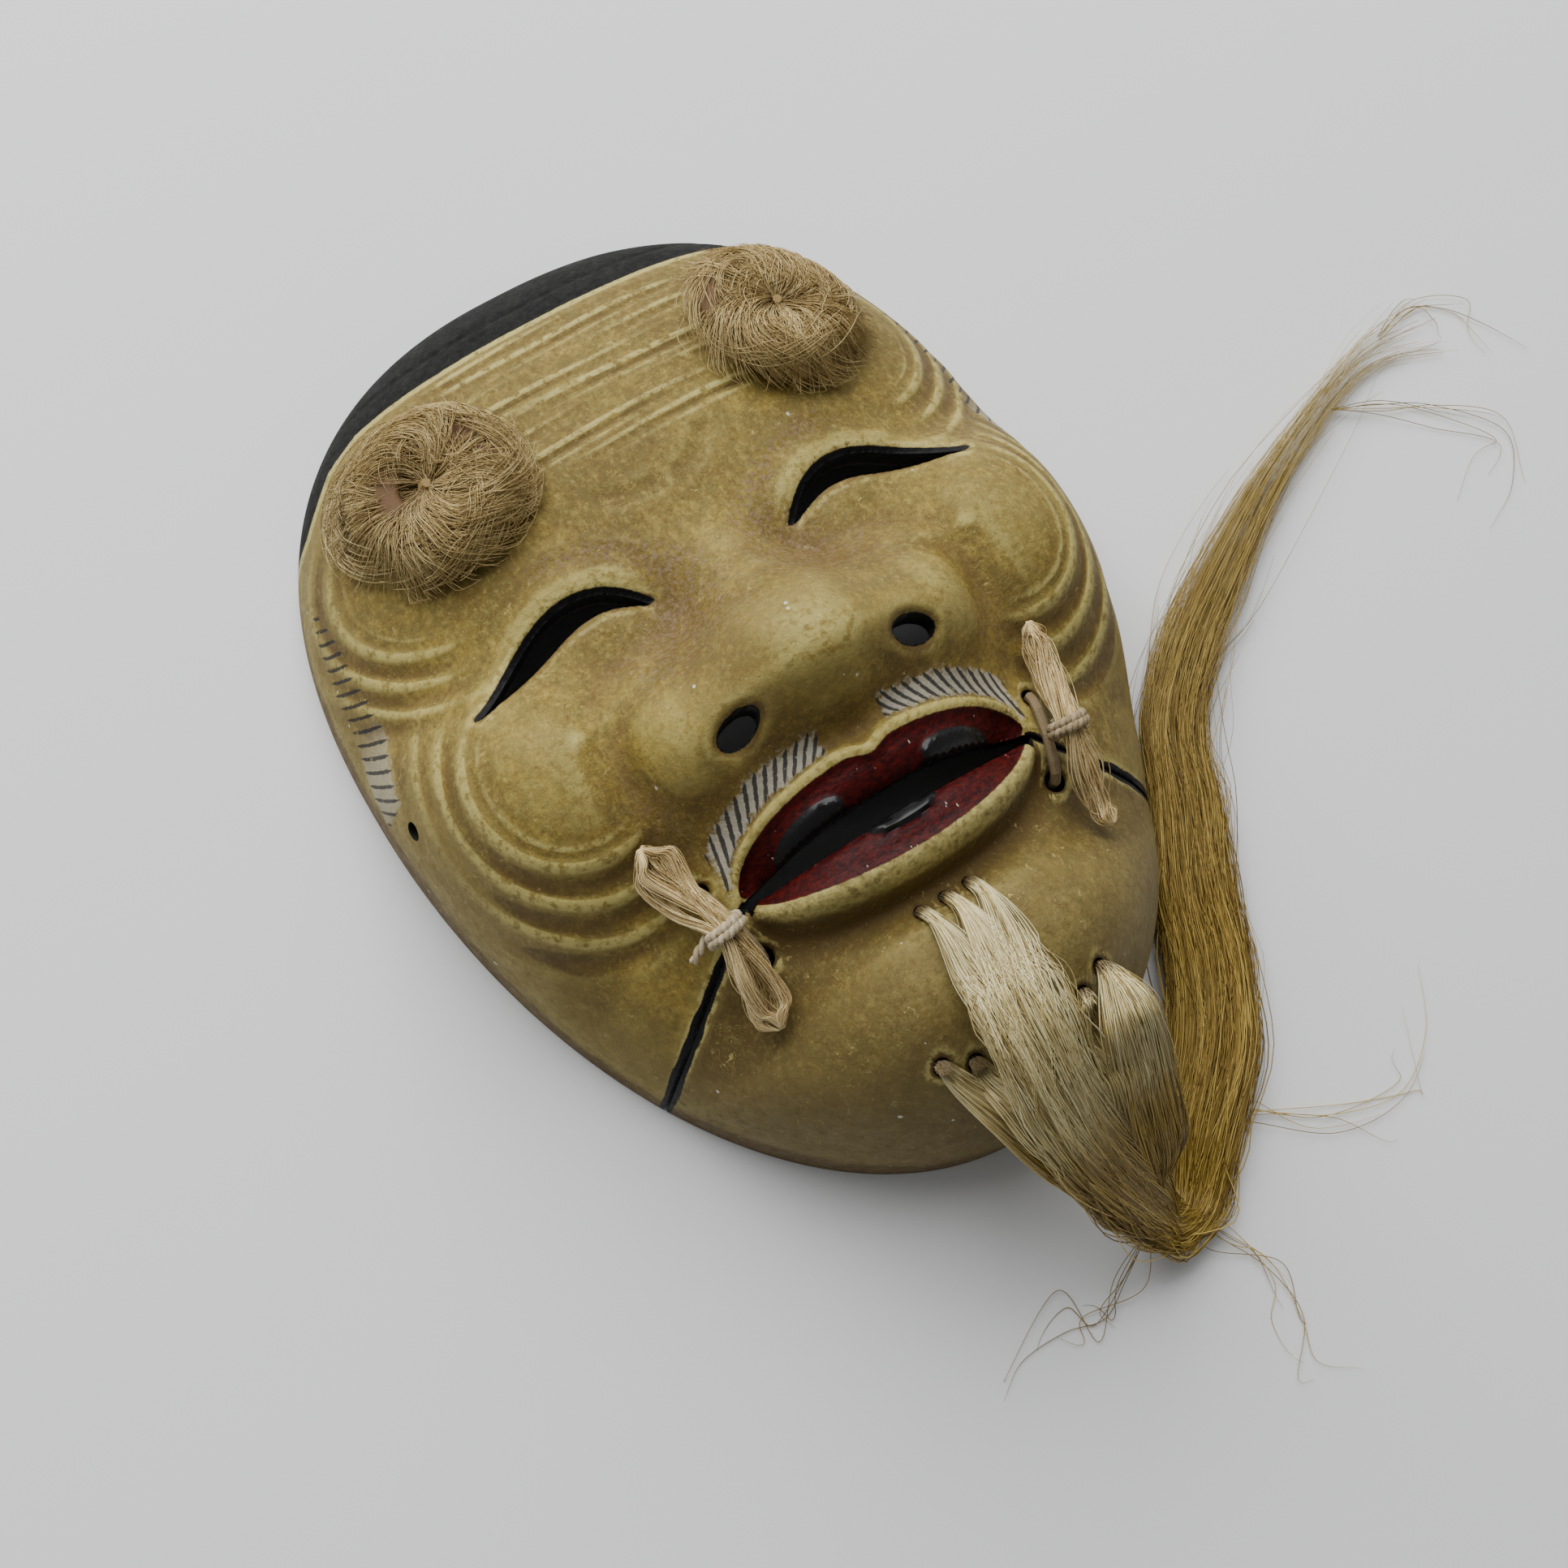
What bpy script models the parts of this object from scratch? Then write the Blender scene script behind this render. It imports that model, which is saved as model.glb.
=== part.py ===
"""A carved noh mask of an old man: face shell, tied-on jaw shell, hemp brow tufts, jaw ties and a long beard.

The mask lies on its flat back rim, nose up. +X is the viewer's right, +Y the forehead, +Z out of the face.
The origin is the middle of the rim's flat face above the forehead. Sizes are in millimetres; `at` makes metres.
"""

import math

import bmesh
import bpy
import numpy as np
from mathutils import Vector

MM = 0.001

# Overall sizes
HALF_WIDTH = 75.8
FOREHEAD_REACH = 87.0
CHIN_REACH = 116.0
DEPTH = 47.0

# Walls, holes and gaps
RIM_WIDTH = 6.5
WALL = 5.5
SEAM_GAP = 1.4
CLEARANCE = 0.4
CORD_RADIUS = 1.0
CORD_HOLE_RADIUS = 1.7
JAW_HOLE_RADIUS = 2.1
ROOT_RADIUS = 1.1
ROOT_HOLE_RADIUS = 1.5
EAR_HOLE_RADIUS = 1.9
KNOT_RADIUS = 2.4

# Soft pieces
TUFT_RADIUS = 18.5
TUFT_HEIGHT = 8.0
TUFT_EYE_RADIUS = 2.2
TUFT_LIFT = 1.3
HANK_RADIUS = 4.2
HANK_WAIST_RADIUS = 2.4
HANK_END_RADIUS = 2.4
BINDING_RADIUS = 0.9
LOCK_RADIUS = 2.4
FRONT_HALF_THICKNESS = 3.6
FRONT_HALF_WIDTH = 11.0
TAIL_HALF_THICKNESS = 4.4
FOLD_RADIUS = 9.0
HAIR_RADIUS = 0.5
FLOOR_GAP = 0.6
LEAN = 1.25  # lifts are measured along Z, and the cheeks lean, so a round piece needs this much more
JAW_SWING = math.radians(4.5)  # the ties stand off the jaw by what it rises over this turn

# The layout that the face is drawn in: its own sizes, stretched to the sizes above
LAYOUT_HALF_WIDTH = 75.8
LAYOUT_FOREHEAD = 87.0
LAYOUT_CHIN = 116.0
LAYOUT_DEPTH = 47.0
WIDEST_Y = 12.0

MOUTH_HALF_WIDTH = 31.0
EYE_INNER = 15.7
EYE_OUTER = 53.0
NOSTRIL = (18.3, -17.5)
NOSTRIL_HALF_SIZE = (4.3, 2.5)
TUFT_CENTRE = (38.5, 56.0)
CHEEK_HOLE = (36.0, -36.0)
JAW_HOLE = (32.0, -51.5)
HINGE_Y = -45.0
EAR_HOLE = (72.5, 4.0)
LIP_ROOTS = (("left", -5.2), ("middle", 0.0), ("right", 5.2))
LIP_ROOT_Y = -60.0
CHIN_ROOTS = (("outer", 17.0, -84.5), ("inner", 11.5, -87.0))

FACE_GRID = (34, 44)
HOLLOW_GRID = (18, 22)


# ---------- layout and carving ----------

def spread(x, y):
    """Layout millimetres to millimetres on the mask, measured from the origin."""
    reach = np.where(np.asarray(y) > WIDEST_Y, FOREHEAD_REACH / LAYOUT_FOREHEAD, CHIN_REACH / LAYOUT_CHIN)
    middle = RIM_WIDTH / 2 - FOREHEAD_REACH
    return x * HALF_WIDTH / LAYOUT_HALF_WIDTH, middle + (y - WIDEST_Y) * reach


def at(x, y, z):
    """A world point from a layout place and a height in millimetres."""
    across, up = spread(x, y)
    return Vector((float(across), float(up), float(z))) * MM


def edge_share(x, y, inset=0.0):
    """0 at the middle of the face, 1 on its outline (or on the outline moved in by inset)."""
    above = y > WIDEST_Y
    roundness = np.where(above, 2.4, 1.95)
    across = np.abs(x) / (LAYOUT_HALF_WIDTH - inset)
    along = np.abs(y - WIDEST_Y) / (np.where(above, LAYOUT_FOREHEAD, LAYOUT_CHIN) - inset)
    return (across ** roundness + along ** roundness) ** (1 / roundness)


def dome(share, y, height):
    power = 3.0 - 0.9 * ease((y - WIDEST_Y + 16) / 32)
    return height * np.sqrt(np.clip(1 - np.clip(share, 0, 1) ** power, 0, 1))


def mound(x, y, centre, radii, top, drop):
    """A paraboloid, mirrored left and right, that falls by drop at its radii."""
    return top - drop * (((np.abs(x) - centre[0]) / radii[0]) ** 2 + ((y - centre[1]) / radii[1]) ** 2)


def blended_max(a, b, softness):
    overlap = np.clip(softness - np.abs(a - b), 0, None)
    return np.maximum(a, b) + overlap ** 2 / (4 * softness)


def ease(value):
    value = np.clip(value, 0, 1)
    return value * value * (3 - 2 * value)


def broad_forms(x, y, inset=0.0):
    """Height of the face's large forms above the rim, in layout millimetres."""
    side = np.abs(x)
    share = edge_share(x, y, inset)
    base = dome(share, y, LAYOUT_DEPTH - inset)
    form = blended_max(base, mound(x, y, (45, -7), (20, 21), 52, 10) - inset, 6)
    form = blended_max(form, mound(x, y, (0, -38), (34, 27), 60, 17) - inset, 7)
    form = blended_max(form, mound(x, y, (0, -76), (36, 25), 58, 17) - inset, 7)
    rise = ease((22 - y) / 36)
    sides = 9 * (side / (10 + 7 * rise)) ** 2
    bridge = 48.5 + 21 * rise - sides - 14 * (np.clip(-12 - y, 0, None) / 10) ** 2
    form = blended_max(form, bridge - 5 * (np.clip(y - 14, 0, None) / 10) ** 2 - inset, 7)
    form = blended_max(form, mound(x, y, (0, -11), (15, 12), 71.5, 10) - inset, 6)
    form = blended_max(form, mound(x, y, (19, -13), (15.5, 12), 62, 8) - inset, 11)
    return base + (form - base) * np.sqrt(np.clip(1 - np.clip(share, 0, 1) ** 8, 0, 1))


def upper_lip_edge(side):
    """Where the face shell ends above the mouth opening and, past its corner, above the seam."""
    lip = -38.3 - 3.6 * (side / MOUTH_HALF_WIDTH) ** 2.5
    return np.where(side < MOUTH_HALF_WIDTH, lip, -41.9 - 0.787 * (side - MOUTH_HALF_WIDTH))


def lower_lip_edge(side):
    lip = -43.4 + 0.6 * (side / MOUTH_HALF_WIDTH) ** 2
    drop = 1.28 * SEAM_GAP * np.clip((side - MOUTH_HALF_WIDTH + 3) / 3, 0, 1)
    return np.where(side < MOUTH_HALF_WIDTH, lip, -41.0 - 0.787 * (side - MOUTH_HALF_WIDTH)) - drop


def carved_height(x, y):
    """Height of the carved front above the rim, in millimetres."""
    side = np.abs(x)
    form = broad_forms(x, y)
    in_mouth = ease((MOUTH_HALF_WIDTH + 2 - side) / 8)
    form = form - 4.5 * in_mouth * np.exp(-((y + 41) / 5) ** 2)
    form = form - 3.5 * ease((38 - side) / 12) * np.exp(-((y + 58 - side ** 2 / 130) / 3.5) ** 2)
    form = form - 3.0 * np.exp(-((side - 37) / 5) ** 2 - ((y + 14) / 12) ** 2)
    form = form - 2.5 * np.exp(-((side - 14) / 6) ** 2 - ((y - 13) / 8) ** 2)
    return form * DEPTH / LAYOUT_DEPTH


def hollow_height(x, y):
    """Height of the hollow back, which keeps at least a wall under the carved front."""
    inner = broad_forms(x, y, RIM_WIDTH) * DEPTH / LAYOUT_DEPTH
    return np.minimum(inner, carved_height(x, y) - WALL)


def front_at(x, y, lift=0.0):
    return at(x, y, float(carved_height(np.float64(x), np.float64(y))) + lift)


def back_at(x, y, drop=0.0):
    return at(x, y, float(hollow_height(np.float64(x), np.float64(y))) - drop)


# ---------- scene, materials and helpers ----------

for old in list(bpy.data.objects):
    bpy.data.objects.remove(old)

parts = bpy.data.collections.new("noh_mask")
cutters = bpy.data.collections.new("cutters")
for collection in (parts, cutters):
    bpy.context.scene.collection.children.link(collection)


def material(name, colour, roughness):
    made = bpy.data.materials.new(name)
    made.use_nodes = True
    shader = made.node_tree.nodes["Principled BSDF"]
    shader.inputs["Base Color"].default_value = (*colour, 1)
    shader.inputs["Roughness"].default_value = roughness
    shader.inputs["Metallic"].default_value = 0.0
    return made


def object_from(bm, name, collection, look=None):
    mesh = bpy.data.meshes.new(name)
    bm.to_mesh(mesh)
    bm.free()
    made = bpy.data.objects.new(name, mesh)
    collection.objects.link(made)
    if look:
        mesh.materials.append(look)
        mesh.shade_smooth()
        mesh.set_sharp_from_angle(angle=math.radians(50))
    else:
        made.hide_render = True
        made.display_type = "WIRE"
    return made


def meshed(curve_object, name, collection, look=None):
    """A mesh object in place of a curve object, its caps welded on."""
    graph = bpy.context.evaluated_depsgraph_get()
    mesh = bpy.data.meshes.new_from_object(curve_object.evaluated_get(graph))
    bm = bmesh.new()
    bm.from_mesh(mesh)
    bm.transform(curve_object.matrix_world)
    bmesh.ops.remove_doubles(bm, verts=bm.verts, dist=0.00001)
    bmesh.ops.recalc_face_normals(bm, faces=bm.faces)
    bpy.data.objects.remove(curve_object)
    bpy.data.meshes.remove(mesh)
    return object_from(bm, name, collection, look)


def curve_of(points, cyclic=False):
    """A POLY curve object through world points with radii, given as (point, radius)."""
    data = bpy.data.curves.new("route", "CURVE")
    data.dimensions = "3D"
    spline = data.splines.new("POLY")
    spline.points.add(len(points) - 1)
    for place, (point, radius) in zip(spline.points, points):
        place.co = (*point, 1)
        place.radius = radius
    spline.use_cyclic_u = cyclic
    made = bpy.data.objects.new("route", data)
    parts.objects.link(made)
    return made


def smooth_route(stations, count):
    """Points and radii along a smooth curve through the stations, each (world point, radius)."""
    knots = np.array([[*point, radius] for point, radius in stations])
    padded = np.vstack([2 * knots[0] - knots[1], knots, 2 * knots[-1] - knots[-2]])
    route = []
    for step in np.linspace(0, len(knots) - 1, count):
        span = min(int(step), len(knots) - 2)
        t = step - span
        a, b, c, d = padded[span:span + 4]
        value = 0.5 * (2 * b + (c - a) * t + (2 * a - 5 * b + 4 * c - d) * t ** 2
                       + (3 * b - a - 3 * c + d) * t ** 3)
        route.append((Vector(value[:3]), max(float(value[3]), 0.0001)))
    return route


def tube(name, stations, count, look, sides=8):
    route = curve_of(smooth_route(stations, count))
    route.data.bevel_depth = 1.0
    route.data.bevel_resolution = sides // 2 - 2
    route.data.use_fill_caps = True
    bpy.context.view_layer.update()
    return meshed(route, name, parts, look)


def strap(name, stations, count, flatness, look, sides=10):
    """A flat bundle: an oval section, its width the radius and its thickness the flatness times that."""
    oval = curve_of([(Vector((math.cos(a), flatness * math.sin(a), 0)), 1)
                     for a in np.linspace(0, 2 * math.pi, sides, endpoint=False)], cyclic=True)
    route = curve_of(smooth_route(stations, count))
    route.data.twist_mode = "Z_UP"
    route.data.bevel_mode = "OBJECT"
    route.data.bevel_object = oval
    route.data.use_fill_caps = True
    bpy.context.view_layer.update()
    made = meshed(route, name, parts, look)
    bpy.data.objects.remove(oval)
    return made


def prism(name, outline, low, high):
    """A cutter: a flat outline, in world X and Y, drawn through Z from low to high (millimetres)."""
    data = bpy.data.curves.new(name, "CURVE")
    data.dimensions = "2D"
    data.fill_mode = "BOTH"
    data.extrude = (high - low) / 2 * MM
    spline = data.splines.new("POLY")
    spline.points.add(len(outline) - 1)
    for place, point in zip(spline.points, outline):
        place.co = (point[0], point[1], 0, 1)
    spline.use_cyclic_u = True
    route = bpy.data.objects.new(name, data)
    route.location.z = (high + low) / 2 * MM
    cutters.objects.link(route)
    bpy.context.view_layer.update()
    return meshed(route, name, cutters)


def drill(name, start, end, radius, sides=10):
    """A round cutter between two world points; radius in millimetres."""
    bm = bmesh.new()
    run = end - start
    turn = run.to_track_quat("Z", "Y").to_matrix().to_4x4()
    turn.translation = (start + end) / 2
    bmesh.ops.create_cone(bm, cap_ends=True, segments=sides, radius1=radius * MM, radius2=radius * MM,
                          depth=run.length, matrix=turn)
    return object_from(bm, name, cutters)


def torus(around, across, major_radius, minor_radius):
    bpy.ops.mesh.primitive_torus_add(major_segments=around, minor_segments=across, major_radius=major_radius,
                                     minor_radius=minor_radius)
    ring = bpy.context.object
    bm = bmesh.new()
    bm.from_mesh(ring.data)
    bpy.data.objects.remove(ring)
    return bm


def cut(target, cutter):
    """Both meshes are closed, and the exact solver leaves open edges where many cuts meet the thin rim."""
    modifier = target.modifiers.new(cutter.name, "BOOLEAN")
    modifier.object = cutter
    modifier.operation = "DIFFERENCE"
    modifier.solver = "MANIFOLD"


# ---------- the carved shells ----------

def grid_over_face(segments, inset, height):
    """A grid laid over the outline moved in by inset, raised to the height function; its border is at Z 0."""
    bm = bmesh.new()
    bmesh.ops.create_grid(bm, x_segments=segments[0], y_segments=segments[1], size=1)
    for vert in bm.verts:
        u, v = vert.co.x, vert.co.y
        across, along = u * math.sqrt(1 - v * v / 2), v * math.sqrt(1 - u * u / 2)
        reach = math.hypot(across, along)
        if reach > 0:
            to_outline = reach * float(edge_share(np.float64(across / reach), WIDEST_Y + along / reach, inset))
            crowding = 1.35 - 0.35 * reach ** 2
            across, along = across * crowding * reach / to_outline, along * crowding * reach / to_outline
        x, y = across, WIDEST_Y + along
        on_border = reach > 1 - 1e-6
        vert.co = at(x, y, 0.0 if on_border else float(height(np.float64(x), np.float64(y))))
    return bm


def blank():
    """The carved block, solid to its flat back."""
    bm = grid_over_face(FACE_GRID, 0.0, carved_height)
    bmesh.ops.holes_fill(bm, edges=[edge for edge in bm.edges if edge.is_boundary])
    bmesh.ops.recalc_face_normals(bm, faces=bm.faces)
    return bm


def hollow():
    bm = grid_over_face(HOLLOW_GRID, RIM_WIDTH, hollow_height)
    border = [edge for edge in bm.edges if edge.is_boundary]
    pulled = bmesh.ops.extrude_edge_only(bm, edges=border)["geom"]
    for vert in (item for item in pulled if isinstance(item, bmesh.types.BMVert)):
        vert.co.z -= 5 * MM
    bmesh.ops.holes_fill(bm, edges=[edge for edge in bm.edges if edge.is_boundary])
    bmesh.ops.recalc_face_normals(bm, faces=bm.faces)
    return object_from(bm, "hollow", cutters)


def seam_outline(edge, far_y):
    places = np.concatenate([np.linspace(-92, -MOUTH_HALF_WIDTH, 6), np.linspace(-27, 27, 15),
                             np.linspace(MOUTH_HALF_WIDTH, 92, 6)])
    line = [at(x, float(edge(abs(x))), 0) for x in places]
    return line + [at(95, far_y, 0), at(-95, far_y, 0)]


def eye_outline(side):
    """The crescent slit, arched upward, between two arcs over one chord."""
    def point(t, height, lean, fall):
        peak = lean / (lean + fall)
        rise = height * (t / peak) ** lean * ((1 - t) / (1 - peak)) ** fall
        return at(side * (EYE_INNER + (EYE_OUTER - EYE_INNER) * t), 14.5 - 3.1 * t + rise, 0)
    above = [point(t, 8.8, 1.0, 1.5) for t in np.linspace(0, 1, 12)]
    below = [point(t, 3.6, 1.6, 3.2) for t in np.linspace(1, 0, 12)[1:-1]]
    return above + below


def nostril_outline(side):
    turn = math.radians(-12)
    outline = []
    for angle in np.linspace(0, 2 * math.pi, 12, endpoint=False):
        across = NOSTRIL_HALF_SIZE[0] * math.cos(angle)
        along = NOSTRIL_HALF_SIZE[1] * math.sin(angle)
        outline.append(at(side * (NOSTRIL[0] + across * math.cos(turn) - along * math.sin(turn)),
                          NOSTRIL[1] + across * math.sin(turn) + along * math.cos(turn), 0))
    return outline


def straight_drill(name, x, y, radius):
    return drill(name, front_at(x, y, 12), back_at(x, y, 12), radius)


wood = material("painted_wood", (0.42, 0.31, 0.14), 0.45)
jaw_wood = material("painted_jaw_wood", (0.38, 0.27, 0.12), 0.45)
shell_hollow = hollow()

face_shell = object_from(blank(), "face_shell", parts, wood)
cut(face_shell, shell_hollow)
cut(face_shell, prism("below_seam", seam_outline(upper_lip_edge, -150), -20, 110))

jaw_shell = object_from(blank(), "jaw_shell", parts, jaw_wood)
cut(jaw_shell, shell_hollow)
cut(jaw_shell, prism("above_seam", seam_outline(lower_lip_edge, 130), -20, 110))

SIDES = (("left", -1), ("right", 1))
for label, side in SIDES:
    cut(face_shell, prism(f"eye_{label}", eye_outline(side), 5, 100))
    cut(face_shell, prism(f"nostril_{label}", nostril_outline(side), 5, 100))
    for place, (x, y) in (("cheek_hole", CHEEK_HOLE), ("tuft_hole", TUFT_CENTRE)):
        cut(face_shell, straight_drill(f"{place}_{label}", side * x, y, CORD_HOLE_RADIUS))
    cut(jaw_shell, straight_drill(f"jaw_hole_{label}", side * JAW_HOLE[0], JAW_HOLE[1], JAW_HOLE_RADIUS))
    ear = front_at(side * EAR_HOLE[0], EAR_HOLE[1])
    outward = Vector((side, 0, 0.45)).normalized() * (RIM_WIDTH * 2.2 * MM)
    cut(face_shell, drill(f"ear_hole_{label}", ear - outward, ear + outward, EAR_HOLE_RADIUS))
    for place, x, y in CHIN_ROOTS:
        cut(jaw_shell, straight_drill(f"chin_root_{place}_{label}", side * x, y, ROOT_HOLE_RADIUS))
for label, x in LIP_ROOTS:
    cut(jaw_shell, straight_drill(f"lip_root_{label}", x, LIP_ROOT_Y, ROOT_HOLE_RADIUS))


# ---------- brow tufts and their stitches ----------

hemp = material("hemp", (0.55, 0.40, 0.22), 0.85)
stitch_hemp = material("stitch_hemp", (0.45, 0.33, 0.2), 0.85)


def metric(stations):
    return [(point, radius * MM) for point, radius in stations]


def tuft(label, side):
    """A ring cushion of hemp that follows the forehead, with a sunken eye for its stitch."""
    ring_radius = (TUFT_RADIUS + TUFT_EYE_RADIUS) / 2
    bm = torus(22, 10, ring_radius, ring_radius - TUFT_EYE_RADIUS)
    for vert in bm.verts:
        height = vert.co.z / (ring_radius - TUFT_EYE_RADIUS)
        lift = TUFT_LIFT + TUFT_HEIGHT * (0.5 + 0.5 * height)
        vert.co = front_at(side * TUFT_CENTRE[0] + vert.co.x, TUFT_CENTRE[1] + vert.co.y, lift)
    return object_from(bm, f"brow_tuft_{label}", parts, hemp)


def stitch(label, side):
    """A cord through the forehead: a knot in the hollow and a bead in the tuft's eye."""
    x, y = side * TUFT_CENTRE[0], TUFT_CENTRE[1]
    knot_drop = 1.6 * KNOT_RADIUS + CLEARANCE
    bead = TUFT_EYE_RADIUS - CLEARANCE
    stations = [(back_at(x, y, knot_drop + KNOT_RADIUS), KNOT_RADIUS / 2),
                (back_at(x, y, knot_drop), KNOT_RADIUS),
                (back_at(x, y, knot_drop - KNOT_RADIUS), CORD_RADIUS),
                (front_at(x, y, 0), CORD_RADIUS),
                (front_at(x, y, TUFT_LIFT + 1), CORD_RADIUS),
                (front_at(x, y, TUFT_LIFT + 3), bead),
                (front_at(x, y, TUFT_LIFT + 5), bead / 2)]
    tube(f"brow_stitch_{label}", metric(stations), len(stations), stitch_hemp)


for label, side in SIDES:
    tuft(label, side)
    stitch(label, side)


# ---------- jaw ties ----------

def swing_room(y):
    """How far the jaw's surface at this layout height rises when the jaw swings forward."""
    return max(HINGE_Y - y, 0) * math.tan(JAW_SWING)


def jaw_cord(label, side):
    """A cord that laces the jaw to the cheek: two knots in the hollow and a short run over the seam."""
    knot_drop = 1.6 * KNOT_RADIUS + CLEARANCE
    run_lift = CORD_RADIUS + CLEARANCE + 0.3

    def leg(x, y):
        return [(back_at(x, y, knot_drop + KNOT_RADIUS), KNOT_RADIUS / 2),
                (back_at(x, y, knot_drop), KNOT_RADIUS),
                (back_at(x, y, knot_drop - KNOT_RADIUS), CORD_RADIUS),
                (front_at(x, y, 0), CORD_RADIUS)]

    cheek, jaw = (side * CHEEK_HOLE[0], CHEEK_HOLE[1]), (side * JAW_HOLE[0], JAW_HOLE[1])
    run = []
    for t in (0.08, 0.2, 0.5, 0.8, 0.92):
        x, y = cheek[0] + (jaw[0] - cheek[0]) * t, cheek[1] + (jaw[1] - cheek[1]) * t
        turning_in = 0.5 if t in (0.08, 0.92) else 0
        run.append((front_at(x, y, run_lift + swing_room(y) - turning_in), CORD_RADIUS))
    stations = leg(*cheek) + run + leg(*jaw)[::-1]
    tube(f"jaw_cord_{label}", metric(stations), len(stations), stitch_hemp)


def hank(label, side):
    """A doubled hank of hemp over the tie, pinched at its waist by a ring of cord."""
    ring_radius = HANK_WAIST_RADIUS + CLEARANCE + BINDING_RADIUS
    waist_lift = LEAN * (2 * CORD_RADIUS + 2 * CLEARANCE + ring_radius + BINDING_RADIUS + 0.6)
    end_lift = LEAN * (HANK_RADIUS + CLEARANCE)
    shoulder_lift = end_lift + 2 * CORD_RADIUS + CLEARANCE
    shape = [(41.0, -26.5, end_lift, HANK_END_RADIUS), (40.2, -29.5, end_lift, HANK_RADIUS),
             (38.6, -36.5, shoulder_lift, HANK_RADIUS), (36.9, -43.0, waist_lift, HANK_WAIST_RADIUS),
             (36.5, -46.5, waist_lift, HANK_WAIST_RADIUS), (35.8, -52.5, shoulder_lift, HANK_RADIUS),
             (35.6, -59.5, end_lift, HANK_RADIUS), (36.0, -62.5, end_lift, HANK_END_RADIUS)]
    stations = [(front_at(side * x, y, lift + swing_room(y)), radius) for x, y, lift, radius in shape]
    tube(f"jaw_hank_{label}", metric(stations), 15, hemp)
    above, below = stations[3][0], stations[4][0]
    bm = torus(20, 8, ring_radius * MM, BINDING_RADIUS * MM)
    turn = (above - below).to_track_quat("Z", "Y").to_matrix().to_4x4()
    turn.translation = (above + below) / 2
    bm.transform(turn)
    object_from(bm, f"hank_binding_{label}", parts, stitch_hemp)


for label, side in SIDES:
    jaw_cord(label, side)
    hank(label, side)


# ---------- beard ----------

FOLD = (13.0, -129.0)
FOLD_TOP = FLOOR_GAP + 2 * TAIL_HALF_THICKNESS
CHIN_MARGIN = 10.0
FRONT_START_Y = -81.5


def root(x, y):
    """The glued end of a lock, inside its hole."""
    return [(back_at(x, y, 1), ROOT_RADIUS), (front_at(x, y, 0), ROOT_RADIUS)]


def lip_lock(label, x):
    y = LIP_ROOT_Y
    stations = root(x, y)
    shape = ((1.6, 0.0, 1.2), (6, 0.5, 1.8), (12, 1.5, LOCK_RADIUS), (19.5, 2.6, LOCK_RADIUS))
    for down, drift, radius in shape:
        lift = radius + CLEARANCE + 0.4
        stations.append((front_at(x * (1 + down / 200) - drift, y - down, lift), radius))
    tube(f"lip_lock_{label}", metric(stations), 12, hair)


def chin_lock(place, label, side, x, y):
    stations = root(side * x, y)
    height = float(carved_height(np.float64(x), np.float64(y)))
    shape = ((1.8, 1.035, 0.0, 1.2), (5.5, 1.02, 0.3, 1.8), (11, 0.9, 1.0, 2.2), (19, 0.64, 2.0, 2.2))
    for down, share, drift, radius in shape:
        outward = min(down / 5, 1)
        stations.append((at(side * (x + outward) + drift, y - down, height * share), radius))
    tube(f"chin_lock_{place}_{label}", metric(stations), 12, hair)


def beard_front():
    """The gathered locks from the chin down to the floor, ending above the fold."""
    flatness = FRONT_HALF_THICKNESS / FRONT_HALF_WIDTH
    start = float(carved_height(np.float64(-2), np.float64(FRONT_START_Y))) + FRONT_HALF_THICKNESS + 1.4
    end = FOLD_TOP + FRONT_HALF_THICKNESS + 4
    shape = ((-2.0, FRONT_START_Y, 1.0, 7.6), (-1.8, -90, 0.97, 7.8), (-0.8, -100, 0.8, 8.6),
             (2.5, -110, 0.52, 9.6), (7.5, -119.5, 0.22, FRONT_HALF_WIDTH), (11.5, -126.5, 0.0, 9.5))
    stations = [(at(x, y, end + (start - end) * share), radius) for x, y, share, radius in shape]
    strap("beard_front", metric(stations), 14, flatness, hair)


def beard_tail():
    """The long end, folded back along the floor beside the mask. Its round start turns about the fold."""
    flatness = TAIL_HALF_THICKNESS / FOLD_RADIUS
    # a shorter chin draws the tail's path nearer to the mask, so the path moves out
    aside = CHIN_MARGIN * max(LAYOUT_CHIN / CHIN_REACH - 1, 0)
    x, y = FOLD
    shape = ((x - 7.2, y - 4.4, 3.0), (x - 5.0, y - 3.0, 6.5), (x, y, FOLD_RADIUS),
             (27, -120.5, 9), (41, -109, 9), (50, -95, 8.2), (56, -81, 8), (72, -51, 6),
             (97, -30.5, 6.5), (119, -18, 6), (145, -7, 3.6), (167, -0.5, 1.4))
    stations = [(at(px + aside, py, FLOOR_GAP + flatness * radius), radius) for px, py, radius in shape]
    strap("beard_tail", metric(stations), 34, flatness, hair_gold)


def loose_hair(name, places):
    stations = [(at(x, y, FLOOR_GAP + HAIR_RADIUS), HAIR_RADIUS) for x, y in places]
    tube(name, metric(stations), 3 * len(places), hair_gold, sides=6)


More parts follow.
